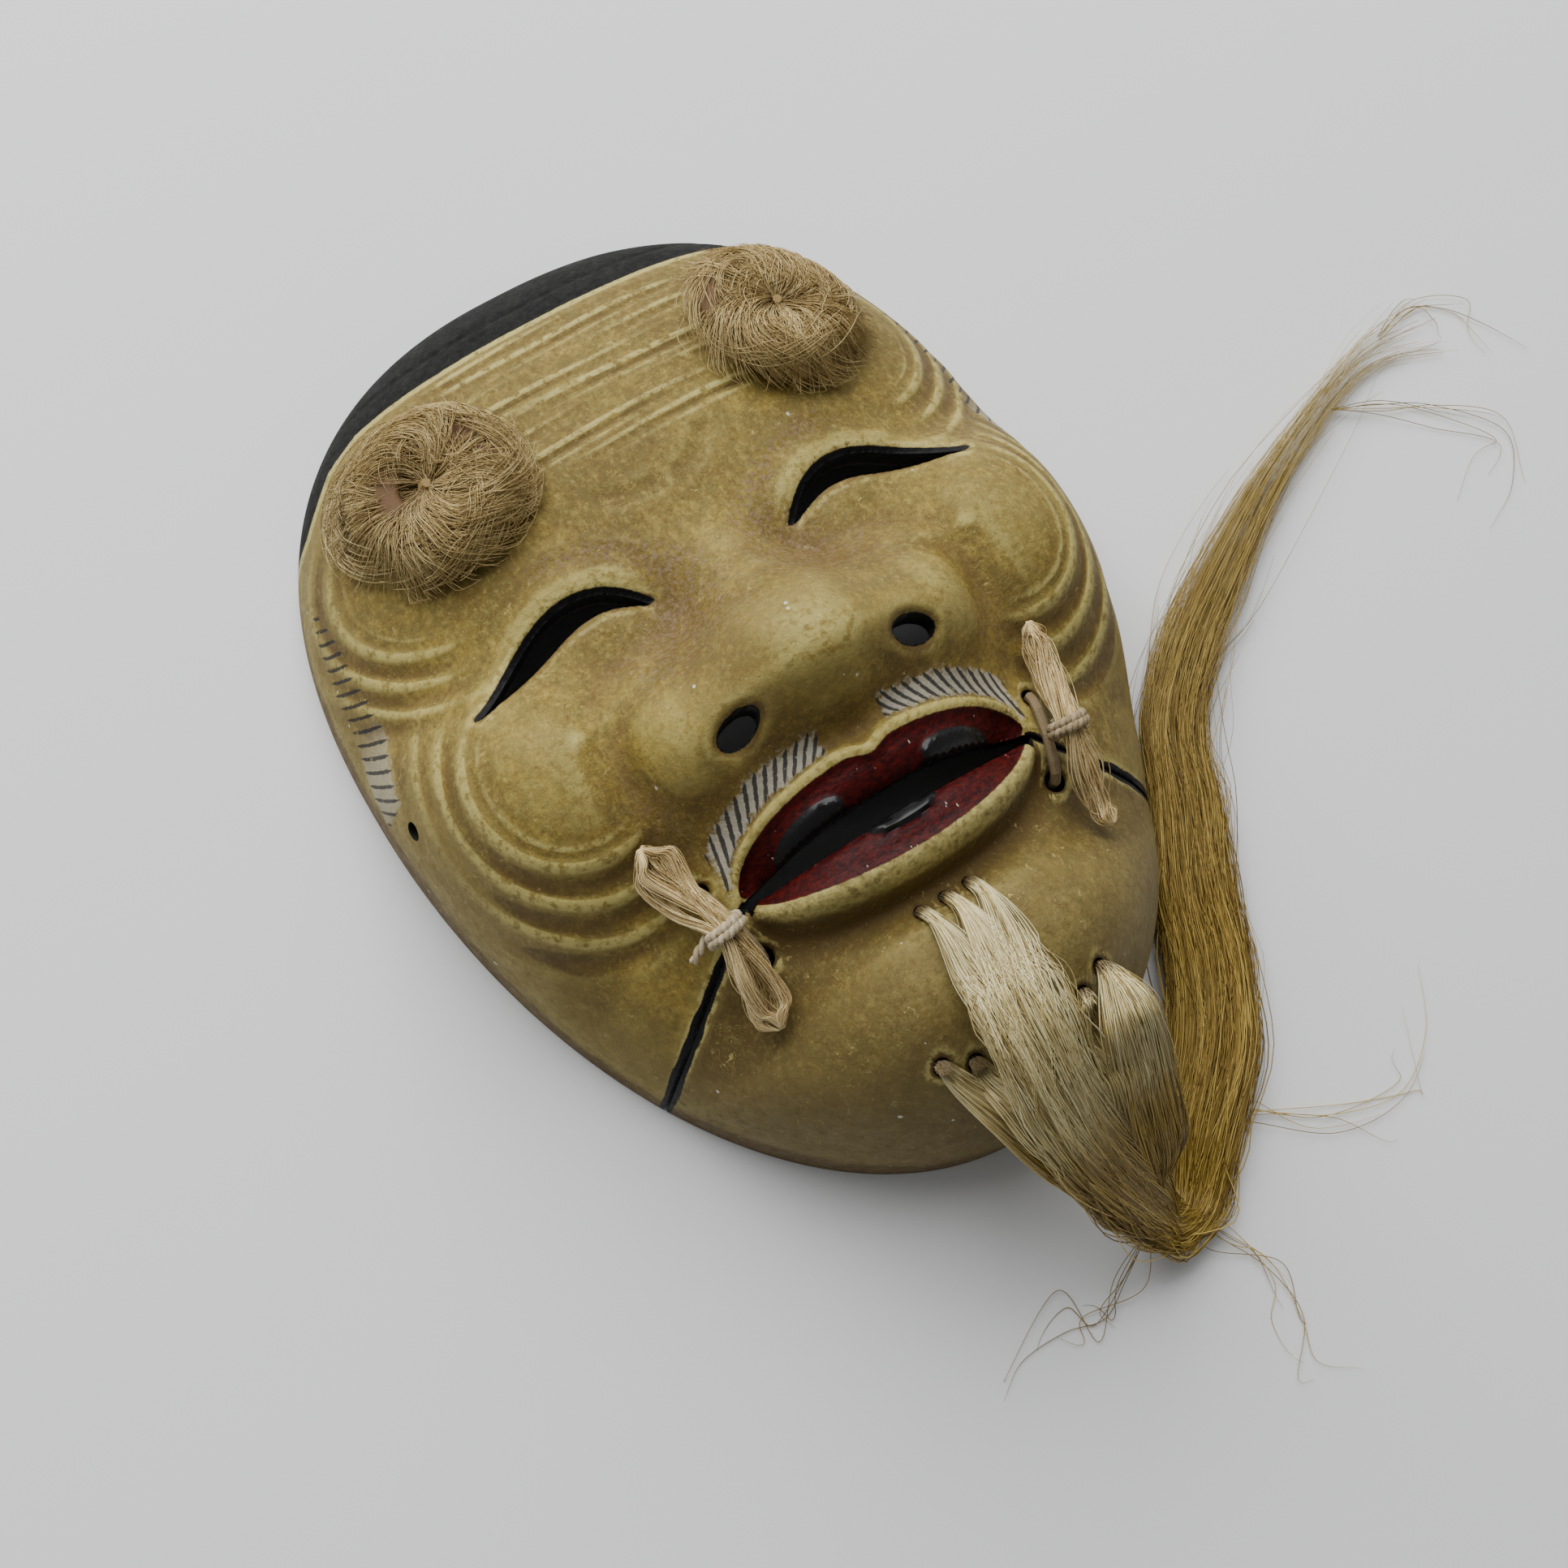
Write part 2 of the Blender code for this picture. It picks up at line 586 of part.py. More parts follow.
hair = material("beard_hair", (0.72, 0.62, 0.42), 0.5)
hair_gold = material("beard_hair_gold", (0.6, 0.42, 0.13), 0.5)
for label, x in LIP_ROOTS:
    lip_lock(label, x)
for label, side in SIDES:
    for place, x, y in CHIN_ROOTS:
        chin_lock(place, label, side, x, y)
beard_front()
beard_tail()
loose_hair("loose_hair_tip_upper", ((171, 1), (179, 0), (187, -8), (194, -20)))
loose_hair("loose_hair_tip_lower", ((151, -14), (166, -20), (177, -33), (171, -44), (160, -50)))
loose_hair("loose_hair_fold_left", ((6, -141), (-3, -142), (-14, -139), (-24, -139), (-31, -143)))
loose_hair("loose_hair_fold_right", ((40, -122), (55, -133), (70, -137), (82, -130), (89, -118)))
loose_hair("loose_hair_fold_low", ((22, -140), (28, -150), (27, -162), (25, -170), (32, -176)))
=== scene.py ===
import math

import bpy
import numpy as np
from mathutils import Matrix, Vector


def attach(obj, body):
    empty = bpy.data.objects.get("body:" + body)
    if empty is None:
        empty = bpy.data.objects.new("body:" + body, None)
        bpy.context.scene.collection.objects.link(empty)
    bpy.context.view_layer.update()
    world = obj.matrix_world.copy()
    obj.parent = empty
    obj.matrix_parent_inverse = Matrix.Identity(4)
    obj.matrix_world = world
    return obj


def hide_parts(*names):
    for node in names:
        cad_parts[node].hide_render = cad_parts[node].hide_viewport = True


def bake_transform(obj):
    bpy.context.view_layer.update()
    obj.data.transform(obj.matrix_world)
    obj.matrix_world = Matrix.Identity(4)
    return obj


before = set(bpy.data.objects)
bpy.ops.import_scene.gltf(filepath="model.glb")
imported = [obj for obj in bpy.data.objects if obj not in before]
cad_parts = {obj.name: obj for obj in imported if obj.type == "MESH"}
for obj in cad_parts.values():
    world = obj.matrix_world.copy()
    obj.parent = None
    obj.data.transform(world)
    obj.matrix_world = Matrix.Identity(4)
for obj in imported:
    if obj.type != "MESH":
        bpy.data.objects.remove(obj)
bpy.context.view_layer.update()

print("frame loaded")
millimetre = 0.001
seededDice = np.random.default_rng(21)


def deselectAll():
    for item in bpy.context.selected_objects:
        item.select_set(False)


def pick(piece):
    deselectAll()
    piece.select_set(True)
    bpy.context.view_layer.objects.active = piece


def linked(name, data):
    made = bpy.data.objects.new(name, data)
    bpy.context.scene.collection.objects.link(made)
    return made


def pointsOf(mesh):
    flat = np.empty(len(mesh.vertices) * 3)
    mesh.vertices.foreach_get("co", flat)
    return flat.reshape(-1, 3)


# ---- camera, floor and light ----

view = {
    "place": (-0.09787, -0.18339, 0.40913),
    "right": (0.84043, -0.5311, 0.10775),
    "up": (0.49337, 0.83211, 0.25333),
    "lens": 48.45,
    "sensor": 36.0,
    "nearClip": 0.01,
}


def setCamera():
    right, up = Vector(view["right"]).normalized(), Vector(view["up"])
    back = right.cross(up).normalized()
    up = back.cross(right)
    data = bpy.data.cameras.new("camera")
    data.lens = view["lens"]
    data.sensor_width = view["sensor"]
    data.clip_start = view["nearClip"]
    camera = linked("camera", data)
    camera.matrix_world = Matrix.Translation(view["place"]) @ Matrix((right, up, back)).transposed().to_4x4()
    bpy.context.scene.camera = camera


setCamera()

studio = {
    "floorColour": (0.93, 0.94, 0.94),
    # the floor is painted darker toward −y, the bottom of the view: a painted falloff of the lamp's light
    "floorShaded": (0.69, 0.70, 0.695),
    "floorSize": 6.0,
    "floorShadeSpan": (-250.0, 650.0),
    "floorRoughness": 0.75,
    "worldColour": (0.96, 0.98, 1.0),
    "worldStrength": 0.24,
    # place, what it shines at, width, watts
    "lamps": (((0.25, 1.75, 1.75), (0.02, -0.08, 0.0), 3.0, 148.0),),
}


# ---- shader maths ----

class Wire:
    # one output socket; expressions on it add nodes to its material
    def __init__(self, socket):
        self.socket = socket

    def node(self, kind, settings=(), inputs=(), output=0):
        made = self.socket.id_data.nodes.new(kind)
        for name, value in dict(settings).items():
            if name == "stops":
                ramp = made.color_ramp
                for index, (spot, colour) in enumerate(value):
                    stop = ramp.elements[index] if index < 2 else ramp.elements.new(spot)
                    stop.position = spot
                    stop.color = (*colour, 1)
            else:
                setattr(made, name, value)
        for name, value in dict(inputs).items():
            if isinstance(value, Wire):
                self.socket.id_data.links.new(value.socket, made.inputs[name])
            else:
                made.inputs[name].default_value = value
        return Wire(made.outputs[output])

    def math(self, operation, first, second=0.0):
        return self.node("ShaderNodeMath", {"operation": operation}, {0: first, 1: second})

    def __add__(self, other):
        return self.math("ADD", self, other)

    def __sub__(self, other):
        return self.math("SUBTRACT", self, other)

    def __rsub__(self, other):
        return self.math("SUBTRACT", other, self)

    def __mul__(self, other):
        return self.math("MULTIPLY", self, other)

    def __truediv__(self, other):
        return self.math("DIVIDE", self, other)

    __radd__ = __add__
    __rmul__ = __mul__

    def size(self):
        return self.math("ABSOLUTE", self)

    def wave(self):
        return self.math("SINE", self)

    def lesser(self, other):
        return self.math("MINIMUM", self, other)

    def greater(self, other):
        return self.math("MAXIMUM", self, other)

    # 0 below low, 1 above high, smooth between
    def step(self, low, high):
        return self.node("ShaderNodeMapRange", {"interpolation_type": "SMOOTHSTEP"},
                         {"Value": self, "From Min": low, "From Max": high})

    def ramp(self, *stops):
        return self.node("ShaderNodeValToRGB", {"stops": stops}, {"Fac": self})

    # this share of over on under
    def mix(self, under, over):
        under, over = (c if isinstance(c, Wire) else (*c, 1) for c in (under, over))
        return self.node("ShaderNodeMix", {"data_type": "RGBA"}, {0: self, 6: under, 7: over}, 2)

    def stretched(self, x, y, z):
        return self.node("ShaderNodeVectorMath", {"operation": "MULTIPLY"}, {0: self, 1: (x, y, z)})

    def shifted(self, x, y, z):
        return self.node("ShaderNodeVectorMath", {"operation": "ADD"}, {0: self, 1: (x, y, z)})

    def noise(self, scale, detail=3.0, roughness=0.55, distortion=0.0):
        return self.node("ShaderNodeTexNoise", (), {"Vector": self, "Scale": scale, "Detail": detail,
                                                    "Roughness": roughness, "Distortion": distortion})

    def cells(self, scale):
        return self.node("ShaderNodeTexVoronoi", (), {"Vector": self, "Scale": scale})

    def attribute(self, name, output="Fac"):
        return self.node("ShaderNodeAttribute", {"attribute_name": name}, (), output)

    def axis(self, index):
        return self.node("ShaderNodeSeparateXYZ", (), {0: self}, index)

    def bump(self, height, distance, strength=1.0):
        return self.node("ShaderNodeBump", (), {"Height": height, "Distance": distance, "Strength": strength})


def newFinish(name, constants):
    # the material, its Principled shader and the place on the object in millimetres
    made = bpy.data.materials.new(name)
    made.use_nodes = True
    shader = made.node_tree.nodes["Principled BSDF"]
    for socket, value in constants.items():
        shader.inputs[socket].default_value = value
    coordinates = made.node_tree.nodes.new("ShaderNodeTexCoord")
    place = Wire(coordinates.outputs["Object"]).stretched(1000, 1000, 1000)
    return made, shader, place


socketNames = {"baseColour": "Base Color", "roughness": "Roughness", "coat": "Coat Weight", "normal": "Normal"}


def feed(shader, **wires):
    for name, wire in wires.items():
        shader.id_data.links.new(wire.socket, shader.inputs[socketNames[name]])


def makeFloor():
    bpy.ops.mesh.primitive_plane_add(size=studio["floorSize"])
    floor = bpy.context.object
    floor.name = "floor"
    made, shader, mm = newFinish("paperFloor", {"Roughness": studio["floorRoughness"]})
    # painted shade: the floor's colour darkens toward −y as a painted falloff of the light
    shadedShare = (0 - mm.axis(1)).step(*studio["floorShadeSpan"])
    feed(shader, baseColour=shadedShare.mix(studio["floorColour"], studio["floorShaded"]))
    floor.data.materials.append(made)


def lightStudio():
    world = bpy.data.worlds.new("studio")
    world.use_nodes = True
    background = world.node_tree.nodes["Background"]
    background.inputs["Color"].default_value = (*studio["worldColour"], 1)
    background.inputs["Strength"].default_value = studio["worldStrength"]
    bpy.context.scene.world = world
    for index, (place, aim, width, watts) in enumerate(studio["lamps"]):
        data = bpy.data.lights.new(f"lamp_{index}", "AREA")
        data.size = width
        data.energy = watts
        lamp = linked(f"lamp_{index}", data)
        lamp.location = place
        lamp.rotation_euler = (Vector(aim) - Vector(place)).to_track_quat("-Z", "Y").to_euler()


deselectAll()
makeFloor()
lightStudio()
print("camera, floor and light set")

# ---- the carved face ----

carving = {
    "halfWidth": 75.8,
    "foreheadReach": 87.0,
    "chinReach": 116.0,
    "depth": 47.0,
    "rimWidth": 6.5,
    "wall": 5.5,
    "widestY": 12.0,
    "seamGap": 1.4,
    "seamSlope": 0.787,
    "mouthHalfWidth": 31.0,
    "eyeInner": 15.7,
    "eyeOuter": 53.0,
    "nostril": (18.3, -17.5),
    "nostrilHalfSize": (4.3, 2.5),
    "nostrilTurn": -12.0,
    "cheekHole": (36.0, -36.0),
    "jawHole": (32.0, -51.5),
    "earHole": (72.5, 4.0),
    "tuftCentre": (38.5, 56.0),
    "cordHoleRadius": 1.7,
    "jawHoleRadius": 2.1,
    "earHoleRadius": 1.9,
    "rootHoleRadius": 1.5,
    "boreSpan": (5, 100),
    "lipRoots": ((-5.2, -60.0), (0.0, -60.0), (5.2, -60.0)),
    "chinRoots": ((17.0, -84.5), (11.5, -87.0), (-17.0, -84.5), (-11.5, -87.0)),
    "grid": ((296, 336)),
    "hollowGrid": ((120, 140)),
    # swellings on the dome: middle, half sizes, top, fall at the half size, softness of the join
    "swellings": {
        "cheek": ((45, -7), (20, 21), 52, 10, 6),
        "lips": ((0, -38), (34, 27), 60, 17, 7),
        "chin": ((0, -76), (36, 25), 58, 17, 7),
        "noseTip": ((0, -11), (15, 12), 71.5, 10, 6),
        "noseWing": ((19, -13), (15.5, 12), 62, 8, 11),
    },
    # teeth: middle, half sizes, turn, height
    "teeth": (((15.3, -38.4), (7.8, 3.6), -10.0, 1.4), ((0.0, -43.2), (7.4, 3.0), 0.0, 1.3)),
    # the lids' lines: height, and how they lean in and fall away
    "upperLid": (8.8, 1.0, 1.5),
    "lowerLid": (3.6, 1.6, 3.2),
    "browLines": (44.5, 49.0, 54.5, 59.0, 63.0, 67.5, 72.5, 76.0),
    # steps over which small ridges and broad forms are told apart
    "wearStep": 1.3,
    "broadStep": 3.0,
}
# level of the mouth's line, and the value of a zone where it isn't
mouthLevel, notHere = -41, -9
layoutY = carving["rimWidth"] / 2 - carving["foreheadReach"] - carving["widestY"]


def place(x, y, z):
    return Vector((float(x), float(y) + layoutY, float(z))) * millimetre


def ease(value):
    value = np.clip(value, 0, 1)
    return value * value * (3 - 2 * value)


def hill(distance, width):
    return np.exp(-(distance / width) ** 2)


def edgeShare(x, y, inset=0.0):
    above = y > carving["widestY"]
    roundness = np.where(above, 2.4, 1.95)
    across = np.abs(x) / (carving["halfWidth"] - inset)
    reach = np.where(above, carving["foreheadReach"], carving["chinReach"]) - inset
    along = np.abs(y - carving["widestY"]) / reach
    return (across ** roundness + along ** roundness) ** (1 / roundness)


def blendedMax(a, b, softness):
    overlap = np.clip(softness - np.abs(a - b), 0, None)
    return np.maximum(a, b) + overlap ** 2 / (4 * softness)


def swollen(form, x, y, part, inset):
    centre, radii, top, drop, softness = carving["swellings"][part]
    fall = ((np.abs(x) - centre[0]) / radii[0]) ** 2 + ((y - centre[1]) / radii[1]) ** 2
    return blendedMax(form, top - drop * fall - inset, softness)


def noseBridge(side, y):
    rise = ease((22 - y) / 36)
    sides = 9 * (side / (10 + 7 * rise)) ** 2
    ends = 14 * (np.clip(-12 - y, 0, None) / 10) ** 2 + 5 * (np.clip(y - 14, 0, None) / 10) ** 2
    return 48.5 + 21 * rise - sides - ends


def broadForms(x, y, inset=0.0):
    share = np.clip(edgeShare(x, y, inset), 0, 1)
    power = 3.0 - 0.9 * ease((y - carving["widestY"] + 16) / 32)
    base = (carving["depth"] - inset) * np.sqrt(np.clip(1 - share ** power, 0, 1))
    form = base
    for part in ("cheek", "lips", "chin"):
        form = swollen(form, x, y, part, inset)
    form = blendedMax(form, noseBridge(np.abs(x), y) - inset, 7)
    for part in ("noseTip", "noseWing"):
        form = swollen(form, x, y, part, inset)
    return base + (form - base) * np.sqrt(np.clip(1 - share ** 8, 0, 1))


def upperOpening(side):
    corner = carving["mouthHalfWidth"]
    past = -41.9 - carving["seamSlope"] * (side - corner)
    return np.where(side < corner, -38.3 - 3.6 * (side / corner) ** 2.5, past)


def lowerOpening(side):
    corner = carving["mouthHalfWidth"]
    drop = 1.28 * carving["seamGap"] * np.clip((side - corner + 3) / 3, 0, 1)
    past = -41.0 - carving["seamSlope"] * (side - corner)
    return np.where(side < corner, -43.4 + 0.6 * (side / corner) ** 2, past) - drop


def plainCarving(x, y):
    side = np.abs(x)
    form = broadForms(x, y)
    # sunk between the lips, under the lower lip, beside the mouth and beside the root of the nose
    form = form - 4.5 * ease((carving["mouthHalfWidth"] + 2 - side) / 8) * hill(y + 41, 5)
    form = form - 3.5 * ease((38 - side) / 12) * hill(y + 58 - side ** 2 / 130, 3.5)
    form = form - 3.0 * np.exp(-((side - 37) / 5) ** 2 - ((y + 14) / 12) ** 2)
    return form - 2.5 * np.exp(-((side - 14) / 6) ** 2 - ((y - 13) / 8) ** 2)


def hollowHeight(x, y):
    # shallow gouge marks run down the inside
    gouges = 0.35 * np.abs(np.sin(x / 3.4 + 0.6 * np.sin(y / 11))) * np.abs(np.cos(y / 9 + 0.8 * np.sin(x / 8)))
    return np.minimum(broadForms(x, y, carving["rimWidth"]), plainCarving(x, y) - carving["wall"]) - gouges


def toLine(x, y, line):
    # distance to a run of straight pieces
    nearest = np.full(np.shape(x), 1e9)
    for (ax, ay), (bx, by) in zip(line[:-1], line[1:]):
        dx, dy = bx - ax, by - ay
        t = np.clip(((x - ax) * dx + (y - ay) * dy) / (dx * dx + dy * dy), 0, 1)
        nearest = np.minimum(nearest, np.hypot(x - ax - t * dx, y - ay - t * dy))
    return nearest


def eyeLine(height, lean, fall, count=24):
    peak = lean / (lean + fall)
    t = np.linspace(0, 1, count)
    rise = height * (t / peak) ** lean * ((1 - t) / (1 - peak)) ** fall
    return np.stack([carving["eyeInner"] + (carving["eyeOuter"] - carving["eyeInner"]) * t,
                     14.5 - 3.1 * t + rise], 1)


upperEye, lowerEye = eyeLine(*carving["upperLid"]), eyeLine(*carving["lowerLid"])


def toOval(side, y, centre, radii, turn=0.0):
    # signed distance to an oval's line, outside above 0, and the angle on it
    c, s = math.cos(math.radians(turn)), math.sin(math.radians(turn))
    dx, dy = side - centre[0], y - centre[1]
    u, v = (dx * c + dy * s) / radii[0], (dy * c - dx * s) / radii[1]
    reach = np.hypot(u, v)
    angle = np.arctan2(v, u)
    return (reach - 1) * np.hypot(radii[0] * np.cos(angle), radii[1] * np.sin(angle)), np.degrees(angle)


def lipArch(side, width, power, flatness=1.0):
    # 1 at the middle, 0 at the corner
    return np.clip(1 - (side / width) ** power, 0, 1) ** flatness


def upperLipLine(side):
    return -42 + 11.2 * lipArch(side, 31, 2.8, 0.5) - 1.5 * hill(side, 3)


def lowerRedLine(side):
    return -42.8 - 7.7 * lipArch(side, 29.5, 2, 0.7)


def lowerBandLine(side):
    return -43 - 11.3 * lipArch(side, 31, 2.3, 0.6)


def lacquerLine(side):
    return np.interp(side, (0, 35, 42, 50, 60, 64.5, 70), (80, 80, 79.8, 77, 68.5, 66, 64.5))


def notch(distance, width, power=2):
    return np.clip(1 - distance / width, 0, 1) ** power


foldSets = (
    # centre, radii, growth a fold, folds, first and last angle, height
    ((46, 46), (18.5, 18.5), (4.0, 5.6), 3, -95, 60, 0.8),
    ((46, -4), (17.0, 19.5), (3.6, 6.4), 3, -128, 62, 1.15),
)


def skinFolds(x, y):
    side = np.abs(x)
    change = np.zeros(np.shape(x))
    for centre, radii, growth, count, first, last, height in foldSets:
        for k in range(count):
            distance, angle = toOval(side, y, centre, (radii[0] + k * growth[0], radii[1] + k * growth[1]))
            window = ease((angle - first) / 45) * ease((last - angle) / 45) * (1 - 0.15 * k)
            change += height * window * (0.75 * hill(distance + 0.3, 1.3) - 0.95 * hill(distance - 2.6, 1.8))
            change += 0.5 * height * window * ease((2 - np.abs(distance + 3.2)) / 4)
    between = ease((29 - side) / 7)
    for index, line in enumerate(carving["browLines"]):
        offset = y - line - 0.3 * np.sin(x / 8 + index)
        strength = 0.55 + 0.45 * np.sin(index * 2.3 + x / 13)
        change += between * strength * (0.22 * hill(offset - 1.4, 0.75) - 0.42 * hill(offset, 0.6))
    for line in (((-13, 36.5), (-8, 34.4), (-3, 33.8)), ((3, 33.8), (6.5, 35.4), (10.5, 39))):
        change -= 0.45 * hill(toLine(x, y, line), 2.0)
    change += 0.6 * hill(toLine(side, y, ((27, 1.5), (33, -0.5), (40, -3))), 3.2) * ease((y + 8) / 6)
    distance, angle = toOval(side, y, (20.5, -13), (14.6, 12.6))
    change -= 0.7 * hill(distance - 1.5, 2.4) * ease((angle + 80) / 30) * ease((75 - angle) / 40)
    return change


def eyelids(x, y):
    side = np.abs(x)
    above, below = toLine(side, y, upperEye), toLine(side, y, lowerEye)
    middle = sum(np.interp(side, line[:, 0], line[:, 1]) for line in (upperEye, lowerEye)) / 2
    over = ease((y - middle) / 3 + 0.5)
    beyond = np.clip(np.maximum(carving["eyeInner"] - side, side - carving["eyeOuter"]), 0, None)
    lid = 0.5 * hill(above - 3.6, 2.2) - 0.3 * hill(above - 8.0, 2.2) * ease((46 - side) / 12)
    lid = lid - 1.3 * notch(above, 1.9, 1.4)
    under = 0.12 * hill(below - 2.4, 2.4) - 0.4 * notch(below, 0.9)
    return (under + (lid - under) * over) * hill(beyond, 3.0)


def mouthRelief(x, y):
    side = np.abs(x)
    within = ease((32 - side) / 3)
    intoUpper = upperLipLine(side) - y
    upper = 1.2 * hill(intoUpper + 1.1, 1.1) - 1.0 * ease(intoUpper / 1.6)
    upper = upper - 0.8 * notch(y - upperOpening(side), 1.1)
    red, band = lowerRedLine(side), lowerBandLine(side)
    crest = 1.5 * hill(y - (red + band) / 2, (red - band) / 2 + 0.7)
    lower = crest - 1.3 * hill(y - band + 1.9, 1.5) - 0.5 * ease((y - red) / 1.5)
    lower = lower - 0.8 * notch(lowerOpening(side) - y, 1.1)
    change = np.where(y > -41, upper, lower) * within
    change -= 0.8 * hill(side, 3) * hill(y + 27, 5)
    for centre, radii, turn, height in carving["teeth"]:
        distance, _ = toOval(side, y, centre, radii, turn)
        change += height * ease(-distance / 1.3)
    return change


def seamDistance(x, y):
    # past the mouth's corners, how far a place is from the cut between face and jaw
    side = np.abs(x)
    upper, lower = upperOpening(side), lowerOpening(side)
    gap = np.where(y > (upper + lower) / 2, y - upper, lower - y)
    return np.where(side > carving["mouthHalfWidth"] - 1, np.clip(gap, 0, None) * 0.79, 9.0)


def holeDistance(x, y):
    return toOval(np.abs(x), y, carving["nostril"], carving["nostrilHalfSize"], carving["nostrilTurn"])[0]


def cordHoleDistance(x, y):
    side = np.abs(x)
    holes = [(side, carving["cheekHole"], "cordHoleRadius"), (side, carving["jawHole"], "jawHoleRadius")]
    holes += [(x, spot, "rootHoleRadius") for spot in carving["lipRoots"] + carving["chinRoots"]]
    return np.minimum.reduce([np.hypot(across - hx, y - hy) - carving[radius]
                              for across, (hx, hy), radius in holes])


def fineCarving(x, y):
    form = plainCarving(x, y)
    share = edgeShare(x, y)
    detail = skinFolds(x, y) + eyelids(x, y) + mouthRelief(x, y)
    detail -= 0.7 * notch(seamDistance(x, y), 1.2) + 1.1 * notch(holeDistance(x, y), 2.2)
    detail -= 0.6 * notch(cordHoleDistance(x, y), 0.9)
    intoLacquer = y - lacquerLine(np.abs(x))
    detail -= 0.5 * ease(intoLacquer + 0.5) + 0.4 * hill(intoLacquer - 6, 0.7)
    detail += 0.10 * np.sin(x / 5.1 + 2 * np.sin(y / 9)) * np.sin(y / 6.3 + np.sin(x / 7))
    return form + detail * ease((1 - share) / 0.05)


def layFace(name, segments, inset, heights):
    bpy.ops.mesh.primitive_grid_add(x_subdivisions=segments[0], y_subdivisions=segments[1], size=2)
    piece = bpy.context.object
    piece.name = name
    u, v = pointsOf(piece.data)[:, :2].T
    across, along = u * np.sqrt(1 - v * v / 2), v * np.sqrt(1 - u * u / 2)
    reach = np.hypot(across, along)
    safe = np.maximum(reach, 1e-9)
    toOutline = np.maximum(edgeShare(across / safe, carving["widestY"] + along / safe, inset), 1e-9)
    crowding = (1.15 - 0.15 * reach ** 6) / toOutline
    x, y = across * crowding, carving["widestY"] + along * crowding
    z = np.where(reach > 1 - 1e-6, 0.0, heights(x, y))
    piece.data.vertices.foreach_set("co", (np.stack([x, y + layoutY, z], 1) * millimetre).ravel())
    piece.data.update()
    return piece


def faceOutward():
    # ends edit mode
    bpy.ops.mesh.select_all(action="SELECT")
    bpy.ops.mesh.normals_make_consistent(inside=False)
    bpy.ops.object.mode_set(mode="OBJECT")


def closeBelow(piece, drop):
    # the border is drawn down by drop, then filled
    pick(piece)
    bpy.ops.object.mode_set(mode="EDIT")
    bpy.ops.mesh.select_mode(type="EDGE")
    bpy.ops.mesh.select_all(action="DESELECT")
    bpy.ops.mesh.select_non_manifold()
    if drop:
        bpy.ops.mesh.extrude_region_move(TRANSFORM_OT_translate={"value": (0, 0, -drop)})
    bpy.ops.mesh.edge_face_add()
    faceOutward()


def prism(name, outline, low, high):
    # a cutter that stands on the floor
    corners = [(x * millimetre, (y + layoutY) * millimetre, low * millimetre) for x, y in outline]
    mesh = bpy.data.meshes.new(name)
    mesh.from_pydata(corners, [], [list(range(len(corners)))])
    piece = linked(name, mesh)
    pick(piece)
    bpy.ops.object.mode_set(mode="EDIT")
    bpy.ops.mesh.select_all(action="SELECT")
    bpy.ops.mesh.extrude_region_move(TRANSFORM_OT_translate={"value": (0, 0, (high - low) * millimetre)})
    faceOutward()
    return piece


def drill(name, start, end, radius):
    run = end - start
    turn = run.to_track_quat("Z", "Y").to_euler()
    bpy.ops.mesh.primitive_cylinder_add(vertices=28, radius=radius * millimetre, depth=run.length,
                                        location=(start + end) / 2, rotation=turn)
    piece = bpy.context.object
    piece.name = name
    return piece


def applyCut(target, cutter):
    pick(target)
    modifier = target.modifiers.new("cut", "BOOLEAN")
    modifier.object = cutter
    modifier.operation = "DIFFERENCE"
    modifier.solver = "MANIFOLD"
    bpy.ops.object.modifier_apply(modifier="cut")


def joined(pieces):
    deselectAll()
    for piece in pieces:
        piece.select_set(True)
    bpy.context.view_layer.objects.active = pieces[0]
    bpy.ops.object.join()
    return bpy.context.object


def frontPlace(x, y, lift=0.0):
    return place(x, y, float(plainCarving(np.float64(x), np.float64(y))) + lift)


def backPlace(x, y, drop=0.0):
    height = min(float(broadForms(np.float64(x), np.float64(y), carving["rimWidth"])),
                 float(plainCarving(np.float64(x), np.float64(y))) - carving["wall"])
    return place(x, y, height - drop)


def straightDrill(x, y, radius):
    return drill("bore", frontPlace(x, y, 12), backPlace(x, y, 12), radius)


def seamOutline(edge, farY):
    sides = np.concatenate([np.linspace(-92, -31, 24), np.linspace(-30, 30, 61), np.linspace(31, 92, 24)])
    return [(x, float(edge(abs(x)))) for x in sides] + [(95, farY), (-95, farY)]


def mirroredEye(side):
    above, below = (eyeLine(*carving[lid], 40) for lid in ("upperLid", "lowerLid"))
    return [(side * x, y) for x, y in above] + [(side * x, y) for x, y in below[::-1][1:-1]]


def nostrilOutline(side):
    (cx, cy), (rx, ry) = carving["nostril"], carving["nostrilHalfSize"]
    turn = math.radians(carving["nostrilTurn"])
    outline = []
    for angle in np.linspace(0, 2 * math.pi, 32, endpoint=False):
        u, v = rx * math.cos(angle), ry * math.sin(angle)
        outline.append((side * (cx + u * math.cos(turn) - v * math.sin(turn)),
                        cy + u * math.sin(turn) + v * math.cos(turn)))
    return outline


